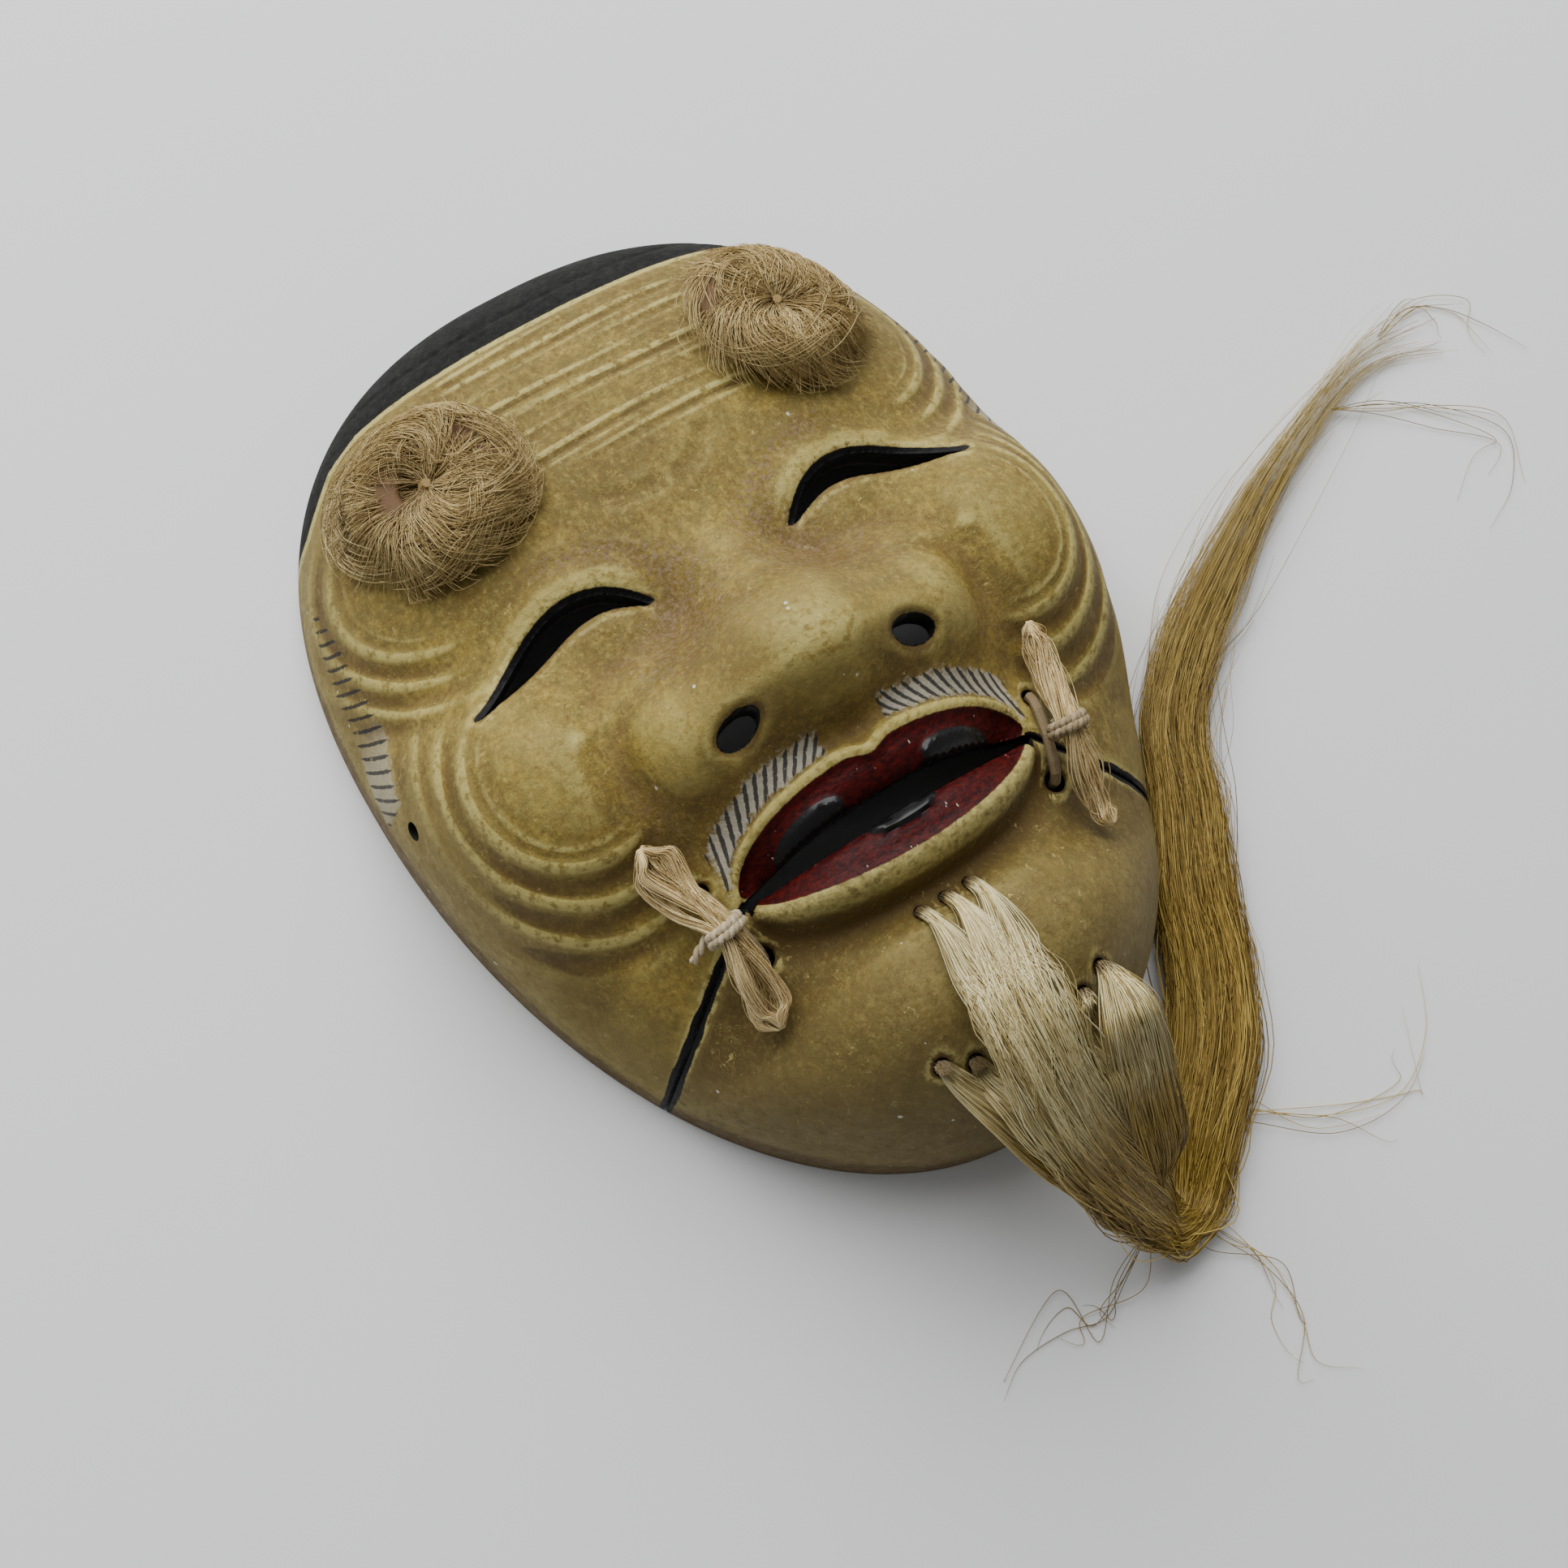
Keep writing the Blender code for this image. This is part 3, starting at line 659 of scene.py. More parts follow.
def carveShells():
    hollow = layFace("hollow", carving["hollowGrid"], carving["rimWidth"], hollowHeight)
    closeBelow(hollow, 5 * millimetre)
    faceBores, jawBores = [], []
    for side in (-1, 1):
        faceBores.append(prism("eye", mirroredEye(side), *carving["boreSpan"]))
        faceBores.append(prism("nostril", nostrilOutline(side), *carving["boreSpan"]))
        for bores, hole, radius in ((faceBores, "cheekHole", "cordHoleRadius"),
                                    (faceBores, "tuftCentre", "cordHoleRadius"),
                                    (jawBores, "jawHole", "jawHoleRadius")):
            x, y = carving[hole]
            bores.append(straightDrill(side * x, y, carving[radius]))
        ear = frontPlace(side * carving["earHole"][0], carving["earHole"][1])
        outward = Vector((side, 0, 0.45)).normalized() * (carving["rimWidth"] * 2.2 * millimetre)
        faceBores.append(drill("ear", ear - outward, ear + outward, carving["earHoleRadius"]))
    for x, y in carving["lipRoots"] + carving["chinRoots"]:
        jawBores.append(straightDrill(x, y, carving["rootHoleRadius"]))
    faceBores, jawBores = joined(faceBores), joined(jawBores)
    face = layFace("face_shell_carved", carving["grid"], 0.0, fineCarving)
    closeBelow(face, 0)
    jaw = linked("jaw_shell_carved", face.data.copy())
    below = prism("below", seamOutline(upperOpening, -150), -20, 110)
    above = prism("above", seamOutline(lowerOpening, 130), -20, 110)
    for shell, seamCutter, bores in ((face, below, faceBores), (jaw, above, jawBores)):
        applyCut(shell, seamCutter)
        applyCut(shell, hollow)
        applyCut(shell, bores)
    for cutter in (hollow, below, above, faceBores, jawBores):
        bpy.data.objects.remove(cutter)
    return face, jaw


def setAttribute(mesh, name, values, kind="FLOAT"):
    stored = mesh.attributes.new(name, kind, "POINT")
    field = "vector" if kind == "FLOAT_VECTOR" else "value"
    stored.data.foreach_set(field, np.ascontiguousarray(values, np.float32).ravel())


def neighbours(x, y, step):
    return [fineCarving(x + dx, y + dy) for dx, dy in ((step, 0), (-step, 0), (0, step), (0, -step))]


def strokeZone(across, along, inside):
    # place across the strokes, place along them, and how far inside the strip
    return np.stack([across, along, inside], 1)


def paintZones(shell):
    mesh = shell.data
    points = pointsOf(mesh) / millimetre
    x, y, z = points[:, 0], points[:, 1] - layoutY, points[:, 2]
    side = np.abs(x)
    near, wide = carving["wearStep"], carving["broadStep"]
    front = fineCarving(x, y)
    east, west, north, south = neighbours(x, y, near)
    slope = np.hypot(east - west, north - south) / (2 * near)
    bend = (east + west + north + south - 4 * front) / (near * near) / (1 + slope ** 2)
    broadBend = (sum(neighbours(x, y, wide)) - 4 * front) / (wide * wide)
    depth = (front - z) / np.sqrt(1 + slope ** 2)
    fromHole = holeDistance(x, y)
    zones = {
        "ridge": np.clip(-bend * 1.6, -1, 1) * np.clip(fromHole / 4, 0, 1),
        "broad": np.clip(-broadBend * 5.0, -1, 1),
        "depth": depth,
        "lacquer": y - lacquerLine(side),
    }
    (upperTooth, lowerTooth) = (-toOval(side, y, *tooth[:3])[0] for tooth in carving["teeth"])
    tooth = np.maximum(upperTooth, lowerTooth)
    zones["tooth"] = np.where((side < 8) & (y > mouthLevel), notHere, tooth)
    overEye = y > np.interp(side, lowerEye[:, 0], lowerEye[:, 1]) - 0.2
    eyeBlack = np.where(overEye, 1.35 - toLine(side, y, upperEye), notHere)
    crack = 0.55 + 0.6 * ease((side - 33) / 20) + 0.2 * np.sin(side * 1.3) * np.sin(side * 0.37)
    zones["black"] = np.maximum.reduce([eyeBlack, crack - seamDistance(x, y), 0.35 - fromHole, depth - 1.2])
    # darker round the nostrils, beside the nose and up the forehead; what faces down, under the nose and toward
    # the chin, and the rim and the outer sides are darkened as painted shade
    facingDown = np.clip((north - south) / (2 * near), 0, 2)
    darkeningAndShade = 1.0 * hill(np.clip(fromHole, 0, None), 3.4) + 0.5 * ease(facingDown / 0.9)
    darkeningAndShade += 0.6 * ease((edgeShare(x, y) - 0.80) / 0.2) + 0.28 * ease((side - 56) / 10)
    darkeningAndShade += 0.25 * ease((y - 22) / 15) + 0.62 * hill(np.hypot(side - 14, y + 2), 12)
    zones["darkeningAndShade"] = np.clip(darkeningAndShade, 0, 1)
    upper, lip, band = y > mouthLevel, upperLipLine(side), lowerBandLine(side)
    redBelow = np.minimum(y - lowerRedLine(side), 29.8 - side)
    zones["red"] = np.where(upper, np.minimum(lip - y, 31 - side), redBelow)
    creamBelow = np.minimum(np.minimum(y - band, 31.5 - side), -notHere)
    zones["cream"] = np.where(upper, np.minimum(lip + 2.0 - y, 32.5 - side), creamBelow)
    # above the brow, by the nose, beside it and low on the cheek the paint is rubbed pinkish
    pink = 0.9 * hill(np.hypot(side - 10, (y - 10) * 0.8), 9)
    lidPink = hill(toLine(side, y, upperEye) - 8.5, 3) * ease((40 - side) / 15) * ease((y - 12) / 6)
    pink += 0.8 * lidPink + 0.5 * hill(np.hypot(side - 24, y - 2), 7)
    pink += 0.35 * hill(np.hypot(side - 36, y + 22), 7)
    zones["pink"] = np.clip(pink, 0, 1)
    for name, values in zones.items():
        setAttribute(mesh, name, values)
    upperEdge = np.interp(side, (5, 7, 20, 30, 34), (-23.0, -23.2, -24.2, -28.1, -32.3))
    lowerEdge = lip + 2.1
    lean = 0.9 - 0.6 * np.clip((side - 8) / 20, 0, 1)
    inside = np.minimum.reduce([upperEdge - y, y - lowerEdge, side - 6.0, 32.5 - side])
    across = side + lean * (y - (upperEdge + lowerEdge) / 2)
    moustache = strokeZone(across, (y - lowerEdge) / (upperEdge - lowerEdge), inside)
    reachDown = np.interp(y, (8, 16, 30, 45, 57), (13, 12, 9, 6.5, 4.5))
    top = np.interp(y, (8, 30, 57), (24, 22, 17))
    inside = np.minimum.reduce([z - top + reachDown, top - z, 57 - y, y - 9, (side - 66) * 2])
    sideHair = strokeZone(y + 0.55 * (z - top), (z - top + reachDown) / reachDown, inside)
    setAttribute(mesh, "moustache", moustache, "FLOAT_VECTOR")
    setAttribute(mesh, "sideHair", sideHair, "FLOAT_VECTOR")
    # faces that lie well under the front take the lining
    loops, starts, totals = (np.empty(len(rows), np.int32) for rows in (mesh.loops, mesh.polygons, mesh.polygons))
    mesh.loops.foreach_get("vertex_index", loops)
    mesh.polygons.foreach_get("loop_start", starts)
    mesh.polygons.foreach_get("loop_total", totals)
    meanDepth = np.add.reduceat(depth[loops], starts) / totals
    mesh.polygons.foreach_set("material_index", (meanDepth > 0.8).astype(np.int32))


def gessoFinish(name, tones):
    made, shader, mm = newFinish(name, {"Roughness": 0.45, "Specular IOR Level": 0.16, "Coat Roughness": 0.22})
    patches = mm.noise(0.045, 4, 0.6).step(0.35, 0.66)
    mottle = mm.shifted(30, 0, 0).noise(0.22, 5, 0.65).step(0.38, 0.64)
    grain = mm.shifted(0, 40, 0).noise(0.75, 6, 0.75)
    pits = mm.shifted(15, 0, 8).noise(2.6, 3, 0.6).step(0.62, 0.70) * 0.45
    scuff = mm.shifted(60, 20, 0).noise(0.10, 7, 0.78).step(0.55, 0.64) * grain.step(0.52, 0.42)
    streak = mm.shifted(5, 5, 0).stretched(1, 0.45, 1).noise(0.55, 6, 0.8)
    ridge, broad = mm.attribute("ridge"), mm.attribute("broad")
    rub = mm.shifted(0, 0, 50).noise(0.5, 5, 0.7)
    worn = (ridge.step(0.04, 0.45) * rub.step(0.36, 0.54)).lesser(1.0)
    speckle = mm.shifted(9, 9, 9).noise(1.1, 5, 0.75)
    # thin scratches, flaked patches and white nicks
    scratch = mm.shifted(3, 70, 0).noise(0.28, 2, 0.5, 1.2)
    line = 1 - ((scratch - 0.5).size() / 0.008).lesser(1.0)
    fewScratches = mm.shifted(80, 0, 0).noise(0.09, 3).step(0.50, 0.58) * grain.step(0.46, 0.54)
    flaked = mm.shifted(25, 5, 0).noise(0.34, 8, 0.82).step(0.60, 0.64) * rub.step(0.45, 0.55)
    nickSize = mm.shifted(0, 11, 5).noise(0.16, 2).step(0.58, 0.78) * 0.30
    nicks = (nickSize - mm.stretched(1, 0.55, 1).cells(0.42) - grain * 0.10).step(0.0, 0.05)
    # what lies over the ground, from the bottom up: its share and its tone
    colour = patches.mix(tones["deep"], tones["ochre"])
    for share, tone in (
            (mottle * 0.7, "olive"),
            (grain.step(0.50, 0.62) * 0.6, "brown"),
            ((1 - grain).step(0.52, 0.64) * 0.55, "pale"),
            (pits, "dirt"),
            (scuff * 0.4, "pale"),
            (streak.step(0.50, 0.60) * 0.55, "olive"),
            (streak.step(0.47, 0.40) * 0.35, "pale"),
            # the darkening, in part painted shade on what faces down toward the chin, on the rim and at the outer
            # sides
            (mm.attribute("darkeningAndShade") * (0.55 + mottle * 0.3), "darkeningAndShade"),
            (worn * 0.75, "cream"),
            ((0 - ridge).step(0.12, 0.9) * 0.7, "dirt"),
            # painted light on broad rises and painted shade in broad hollows
            (broad.step(0.1, 0.9) * 0.25, "pale"),
            ((0 - broad).step(0.1, 0.9) * 0.35, "brown"),
            (mm.attribute("pink") * speckle.step(0.46, 0.62) * 0.75, "pink"),
            (line * fewScratches * 0.75, "cream"),
            (flaked * 0.5, "cream"),
            (nicks * 0.7, "white")):
        colour = share.mix(colour, tones[tone])
    fuzz = mm.noise(0.9, 4, 0.6) - 0.5
    # moustache and side hair: strokes of ink on a whitened strip
    strips, strokes = [], []
    for attribute, spacing, width in (("moustache", 2.15, 0.46), ("sideHair", 2.9, 0.40)):
        strip = mm.attribute(attribute, "Vector")
        u, v, inside = strip.axis(0), strip.axis(1), strip.axis(2)
        bent = u + (v * 3.0 + 0.6).wave() * 0.35 + fuzz * 0.7
        fromStroke = ((bent / spacing).math("FRACT", bent / spacing) - 0.5).size() * spacing
        taper = v.step(0.02, 0.25) * (1 - v.step(0.8, 1.0)) * width
        stroke = (taper - fromStroke).step(-0.1, 0.12) * inside.step(0.0, 0.4) * (fuzz + 0.5).step(0.28, 0.4)
        strip = (inside + fuzz * 4.5).step(0.0, 1.6) * 0.6
        if attribute == "sideHair":
            strip = strip * 0.7 * mm.axis(1).step(layoutY + 30, layoutY + 18)
        strips.append(strip)
        strokes.append(stroke)
    inkStrokes = strokes[0].greater(strokes[1])
    colour = strips[0].greater(strips[1]).mix(colour, tones["chalk"])
    colour = (inkStrokes * 0.9).mix(colour, tones["ink"])
    # painted lips, lids and lacquer
    edge = fuzz * 0.8
    cream = (mm.attribute("cream") + edge).step(-0.2, 0.4)
    creamTone = grain.step(0.35, 0.65).mix(tones["pale"], tones["cream"])
    colour = (cream * (0.25 + rub.step(0.35, 0.6) * 0.35)).mix(colour, creamTone)
    red = (mm.attribute("red") + edge * 0.6).step(-0.1, 0.25)
    redTone = mm.stretched(1, 2.2, 1).noise(0.6, 4, 0.65).step(0.35, 0.7).mix(tones["darkRed"], tones["red"])
    lipNick = (0.17 - mm.stretched(1, 0.4, 1).cells(1.0)).step(0.0, 0.05)
    lipNick = lipNick * mm.shifted(7, 0, 0).noise(0.3, 2).step(0.58, 0.66)
    redTone = (lipNick * 0.6).mix(redTone, tones["white"])
    colour = red.mix(colour, redTone)
    lacquer = (mm.attribute("lacquer") + edge * 0.9).step(0.0, 0.3)
    dusty = mm.shifted(0, 5, 0).noise(0.8, 5, 0.7).step(0.35, 0.75)
    lacquerTone = dusty.mix(tones["black"], tones["charcoal"])
    underLine = (mm.attribute("lacquer") + 1.6).step(0.0, 0.6) * 0.6
    colour = (underLine * rub.step(0.3, 0.5)).mix(colour, tones["cream"])
    colour = lacquer.mix(colour, lacquerTone)
    tooth = (mm.attribute("tooth") + edge * 0.2).step(0.0, 0.2)
    black = (mm.attribute("black") + edge * 0.5).step(0.0, 0.25).greater(tooth)
    rubbed = grain.step(0.55, 0.75) * 0.25
    colour = black.mix(colour, rubbed.mix(tones["black"], tones["charcoal"]))
    satin = 0.50 + mottle * 0.12 + grain.step(0.4, 0.7) * 0.14
    roughness = satin - black * 0.08 + lacquer * 0.22 - red * 0.12
    relief = fuzz * 0.20 + grain * 0.20 - pits * 0.12 - inkStrokes * 0.05 - nicks * 0.12
    relief = relief - line * fewScratches * 0.04
    gloss = red * 0.03 + tooth * 0.45
    feed(shader, baseColour=colour, roughness=roughness, coat=gloss, normal=mm.bump(relief, 0.001, 0.9))
    return made


def liningFinish():
    made, shader, mm = newFinish("liningLacquer", {"Roughness": 0.4, "Specular IOR Level": 0.4})
    smoke = mm.noise(0.08, 4, 0.6).step(0.35, 0.7)
    colour = smoke.mix((0.11, 0.095, 0.075), (0.17, 0.145, 0.11))
    worn = mm.noise(0.7, 5, 0.7).step(0.58, 0.72) * (1 - (mm.axis(2)).step(0.5, 3.0))
    colour = (worn * 0.8).mix(colour, (0.16, 0.11, 0.06))
    colour = mm.attribute("depth").step(5.2, 3.8).mix(colour, (0.022, 0.021, 0.018))
    relief = mm.bump(mm.noise(0.5, 4, 0.6), 0.001, 0.3)
    feed(shader, baseColour=colour, roughness=0.34 + smoke * 0.2, normal=relief)
    return made


skinTones = {
    "deep": (0.1678, 0.1051, 0.0191),
    "ochre": (0.3092, 0.2189, 0.0412),
    "olive": (0.1735, 0.1353, 0.037),
    "brown": (0.1257, 0.0733, 0.023),
    "pale": (0.406, 0.3175, 0.0816),
    "cream": (0.5654, 0.4859, 0.1728),
    "dirt": (0.1, 0.06, 0.02),
    "pink": (0.28, 0.185, 0.13),
    # the dark tone of the darkening and of the painted shade
    "darkeningAndShade": (0.1058, 0.0684, 0.0253),
    "white": (0.74, 0.71, 0.6),
    "chalk": (0.52, 0.5, 0.42),
    "ink": (0.02, 0.02, 0.02),
    "red": (0.0884, 0.0039, 0.0022),
    "darkRed": (0.024, 0.0012, 0.0012),
    "black": (0.004, 0.004, 0.004),
    "charcoal": (0.016, 0.016, 0.013),
}
# the jaw's gesso is painted darker all over, as painted shade on the down-facing chin
shadedJawTones = dict(skinTones, deep=(0.100, 0.064, 0.016), ochre=(0.18, 0.128, 0.030),
                olive=(0.115, 0.086, 0.026), pale=(0.25, 0.19, 0.06))

faceShell, jawShell = carveShells()
lining = liningFinish()
for shell, body, node, finish, slotName in (
        (faceShell, "face", "face_shell", gessoFinish("agedGessoFace", skinTones), "painted_wood"),
        (jawShell, "jaw", "jaw_shell", gessoFinish("agedGessoJawShaded", shadedJawTones), "painted_jaw_wood")):
    shell.data.materials.clear()
    shell.data.materials.append(finish)
    shell.data.materials.append(lining)
    paintZones(shell)
    pick(shell)
    bpy.ops.object.shade_smooth_by_angle(angle=math.radians(50))
    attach(shell, body)
    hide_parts(node)
    print(shell.name, len(shell.data.polygons), "faces")
print("shells carved and painted")

# ---- strands ----

strandSides = 3


def smoothThrough(knots, count):
    # smooth paths through rows of points: knots is strands x points x 3
    padded = np.concatenate([2 * knots[:, :1] - knots[:, 1:2], knots, 2 * knots[:, -1:] - knots[:, -2:-1]], 1)
    steps = np.linspace(0, knots.shape[1] - 1, count)
    span = np.minimum(steps.astype(int), knots.shape[1] - 2)
    t = (steps - span)[None, :, None]
    a, b, c, d = (padded[:, span + shift] for shift in range(4))
    return 0.5 * (2 * b + (c - a) * t + (2 * a - 5 * b + 4 * c - d) * t ** 2 + (3 * b - a - 3 * c + d) * t ** 3)


def strandMesh(name, paths, radius, sides=strandSides, taper=0.35):
    # one closed thin tube for each path, in metres; the tint tells one from another
    strands, stations = paths.shape[:2]
    along = np.linspace(0, 1, stations)
    ahead = np.gradient(paths, axis=1)
    ahead /= np.maximum(np.linalg.norm(ahead, axis=2, keepdims=True), 1e-9)
    reference = np.where(np.abs(ahead[..., 2:3]) > 0.9, np.array([1.0, 0, 0]), np.array([0, 0, 1.0]))
    across = np.cross(ahead, reference)
    across /= np.maximum(np.linalg.norm(across, axis=2, keepdims=True), 1e-9)
    upward = np.cross(across, ahead)
    narrowing = 1 - (1 - taper) * np.clip((along[None] - 0.7) / 0.3, 0, 1)
    thickness = np.asarray(radius).reshape(-1, 1) * narrowing
    angles = np.linspace(0, 2 * math.pi, sides, endpoint=False) + math.pi / 2
    cosine, sine = np.cos(angles)[None, None, :, None], np.sin(angles)[None, None, :, None]
    outward = cosine * across[:, :, None] + sine * upward[:, :, None]
    rings = paths[:, :, None] + thickness[:, :, None, None] * outward
    ringed = stations * sides
    ends = np.stack([paths[:, 0] - ahead[:, 0] * thickness[:, :1],
                     paths[:, -1] + ahead[:, -1] * thickness[:, -1:]], 1)
    points = np.concatenate([rings.reshape(strands, ringed, 3), ends], 1)
    quads = []
    for station in range(stations - 1):
        for k in range(sides):
            low, high = station * sides, (station + 1) * sides
            quads.append((low + k, low + (k + 1) % sides, high + (k + 1) % sides, high + k))
    fans = [(ringed, (k + 1) % sides, k) for k in range(sides)]
    fans += [(ringed + 1, ringed - sides + k, ringed - sides + (k + 1) % sides) for k in range(sides)]
    base = (np.arange(strands) * (ringed + 2))[:, None, None]
    faces = (np.array(quads)[None] + base).reshape(-1, 4).tolist()
    faces += (np.array(fans)[None] + base).reshape(-1, 3).tolist()
    mesh = bpy.data.meshes.new(name)
    mesh.from_pydata(points.reshape(-1, 3).tolist(), [], faces)
    mesh.shade_smooth()
    setAttribute(mesh, "tint", np.repeat(seededDice.random(strands), ringed + 2))
    return linked(name, mesh)


def dress(piece, finish, body, slotName, *nodes):
    piece.data.materials.clear()
    piece.data.materials.append(finish)
    if body:
        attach(piece, body)
    if nodes:
        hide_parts(*nodes)
    print(piece.name, len(piece.data.polygons), "faces")


def fibreFinish(name, tones, roughness):
    # tones: dark, middle, light, and painted shade for the hollows; light and dark strands mixed, with blotches
    # along them
    made, shader, mm = newFinish(name, {"Roughness": roughness, "Specular IOR Level": 0.4})
    tint = mm.attribute("tint")
    colour = tint.ramp((0.0, tones[0]), (1.0, tones[2]), (0.5, tones[1]))
    blotch = mm.noise(0.35, 4, 0.6).step(0.35, 0.7)
    colour = (blotch * 0.45).mix(colour, tones[0])
    # painted shade: the last tone is laid where the hollow attribute says
    colour = (mm.attribute("hollow") * 0.75).mix(colour, tones[3])
    feed(shader, baseColour=colour, normal=mm.bump(mm.noise(3.0, 3), 0.0004, 0.5))
    return made


# ---- brow tufts ----

tuftX, tuftY = carving["tuftCentre"]
tufts = {
    "radius": 18.5,
    "height": 8.0,
    "eyeRadius": 2.2,
    "lift": 1.3,
    "fibres": 2900,
    "fibreRadius": 0.095,
    "core": 3.0,
    "clumps": 60,
    "stations": 12,
    # height of the outermost fibres over the lift, by share of the radius
    "crown": ((0, 0.2, 0.4, 0.6, 0.75, 0.86, 0.95, 1.02, 1.1), (5.4, 6.4, 7.6, 8.0, 7.4, 6.0, 3.9, 2.0, 0.9)),
    # the last tone is painted shade in the sunk hollows and on the core
    "tones": ((0.30, 0.20, 0.065), (0.62, 0.465, 0.20), (0.84, 0.69, 0.35), (0.11, 0.055, 0.018)),
    # where each is sunk, from its middle: across, up, radius, depth
    "hollows": {"left": (-4.5, 1.5, 6.0, 2.6), "right": (1.0, -1.0, 4.0, 1.4)},
}


def carvedAt(x, y):
    return plainCarving(np.asarray(x, float), np.asarray(y, float))


def onTuft(side, around, over, offset):
    # around the ring, and over it from the eye (pi) by the top (pi/2) to the outer foot (0)
    ring = (tufts["radius"] + tufts["eyeRadius"]) / 2
    tube = ring - tufts["eyeRadius"] + offset
    reach = ring + tube * np.cos(over)
    x = side * tuftX + reach * np.cos(around)
    y = tuftY + reach * np.sin(around)
    height = tube / (ring - tufts["eyeRadius"]) * np.sin(over)
    z = carvedAt(x, y) + tufts["lift"] + tufts["height"] * (0.5 + 0.5 * height)
    return np.stack([x, y + layoutY, z], -1) * millimetre


def perPoint(values):
    # one value a station of each strand, for strandMesh's points
    rings = np.repeat(values, strandSides, axis=1)
    return np.concatenate([rings, values[:, :1], values[:, -1:]], 1).ravel()


def tuftFibres(side, hollowX, hollowY, hollowRadius, hollowDepth):
    dice = seededDice
    count, stations, clumps = tufts["fibres"], tufts["stations"], tufts["clumps"]
    u = np.linspace(0, 1, stations)[None]
    clump = dice.integers(0, clumps, count)
    clumpTurn = dice.random(clumps)[clump] * 2 * math.pi
    # most are combed outward from the middle; the rest curl round it as in a nest
    turn = clumpTurn[:, None] + dice.normal(0, 0.10, (count, 1))
    first = 0.02 + 0.45 * dice.random((count, 1)) ** 1.5
    last = 0.98 + dice.normal(0.0, 0.07, (count, 1)) + 0.08 * np.sin(clumpTurn * 7)[:, None]
    reach = first + (last - first) * u
    curl = (0.55 * np.sin(clumpTurn * 2 + side) + 0.35)[:, None] + dice.normal(0, 0.10, (count, 1))
    turn = turn + curl * u ** 1.3 * 1.4
    nest = (dice.random(clumps) < 0.27)[clump][:, None]
    ringReach = 0.25 + 0.70 * dice.random(clumps)[clump][:, None] + dice.normal(0, 0.035, (count, 1))
    ringReach = ringReach + 0.10 * np.sin(u * 4 + clump[:, None])
    reach = np.where(nest, ringReach, reach)
    nestTurn = clumpTurn[:, None] + dice.normal(0, 0.25, (count, 1)) + (0.9 + 0.8 * dice.random((count, 1))) * u
    turn = np.where(nest, nestTurn, turn)
    ax = reach * np.cos(turn) + 0.02 * np.sin(u * 9 + clump[:, None] * 1.9)
    ay = reach * np.sin(turn) + 0.02 * np.cos(u * 8 + clump[:, None] * 1.3)
    wild = (dice.random((count, 1)) < 0.22) * dice.normal(0, 0.20, (count, 2, 1)).transpose(1, 0, 2)
    ax, ay = ax + wild[0] * u, ay + wild[1] * u
    out = np.hypot(ax, ay)
    squeeze = np.where(out > 1.16, 1.16 / out, 1)
    ax, ay, out = ax * squeeze * tufts["radius"], ay * squeeze * tufts["radius"], out * squeeze
    crown = np.interp(out, *tufts["crown"])
    sunk = hill(np.hypot(ax - hollowX, ay - hollowY), hollowRadius)
    layer = 1 - 0.32 * dice.random((count, 1)) + 0.09 * np.sin(clump[:, None] * 2.1 + u * 5)
    height = crown * layer - hollowDepth * sunk + dice.normal(0, 0.15, (count, 1))
    fly = (dice.random((count, 1)) < 0.15) * dice.random((count, 1)) * 1.6 * u ** 2
    x, y = side * tuftX + ax, tuftY + ay
    z = carvedAt(x, y) + tufts["lift"] + np.clip(height + fly, 0.3, tufts["height"] + 1.2)
    return np.stack([x, y + layoutY, z], -1) * millimetre, sunk * (0.4 + 0.6 * dice.random((count, 1)))


def makeTuft(label, side, finish):
    bpy.ops.mesh.primitive_torus_add(major_segments=48, minor_segments=18, major_radius=1.0, minor_radius=0.5)
    core = bpy.context.object
    points = pointsOf(core.data)
    around = np.arctan2(points[:, 1], points[:, 0])
    over = np.arctan2(points[:, 2], np.hypot(points[:, 0], points[:, 1]) - 1.0)
    core.data.vertices.foreach_set("co", onTuft(side, around, over, -tufts["core"]).ravel())
    core.data.shade_smooth()
    paths, sunk = tuftFibres(side, *tufts["hollows"][label])
    name = f"brow_tuft_{label}_fibres"
    piece = strandMesh(name, paths, np.full(len(paths), tufts["fibreRadius"] * millimetre))
    # fibres in a sunk hollow and the whole core under them take the painted shade tone
    setAttribute(piece.data, "hollow", perPoint(sunk))
    for attribute, value in (("tint", 0.0), ("hollow", 1.3)):
        setAttribute(core.data, attribute, np.full(len(points), value))
    piece = joined([piece, core])
    piece.name = name
    dress(piece, finish, "face", "hemp", f"brow_tuft_{label}")


hempFinish = fibreFinish("combedHemp", tufts["tones"], 0.7)
hankTones = ((0.46, 0.32, 0.12), (0.82, 0.62, 0.30), (0.95, 0.82, 0.48), (0.1, 0.06, 0.02))
hankFinish = fibreFinish("loopedHemp", hankTones, 0.7)
for label, side in (("left", -1), ("right", 1)):
    makeTuft(label, side, hempFinish)
print("tufts made")

# ---- ties at the jaw ----

ties = {
    "waistRadius": 2.2,
    "endRadius": 2.6,
    "hankRadius": 4.2,
    "bindingRadius": 0.62,
    "fibres": 420,
    "fibreRadius": 0.12,
    "hingeY": -45.0,
    "swing": 4.5,
    # of a hank's ends, shoulders and waist over the carving
    "lifts": (3.6, 6.2, 8.6),
    "turns": 2.2,
    "strandRadius": 0.60,
}


def lineFrame(line, reference):
    # the two directions across a line at each of its points
    ahead = np.gradient(line, axis=0)
    ahead /= np.linalg.norm(ahead, axis=1, keepdims=True)
    across = np.cross(ahead, reference)
    across /= np.linalg.norm(across, axis=1, keepdims=True)
    return across, np.cross(across, ahead)


def discPoints(count):
    reach = np.sqrt(seededDice.random(count))
    turn = seededDice.random(count) * 2 * math.pi
    return reach * np.cos(turn), reach * np.sin(turn)


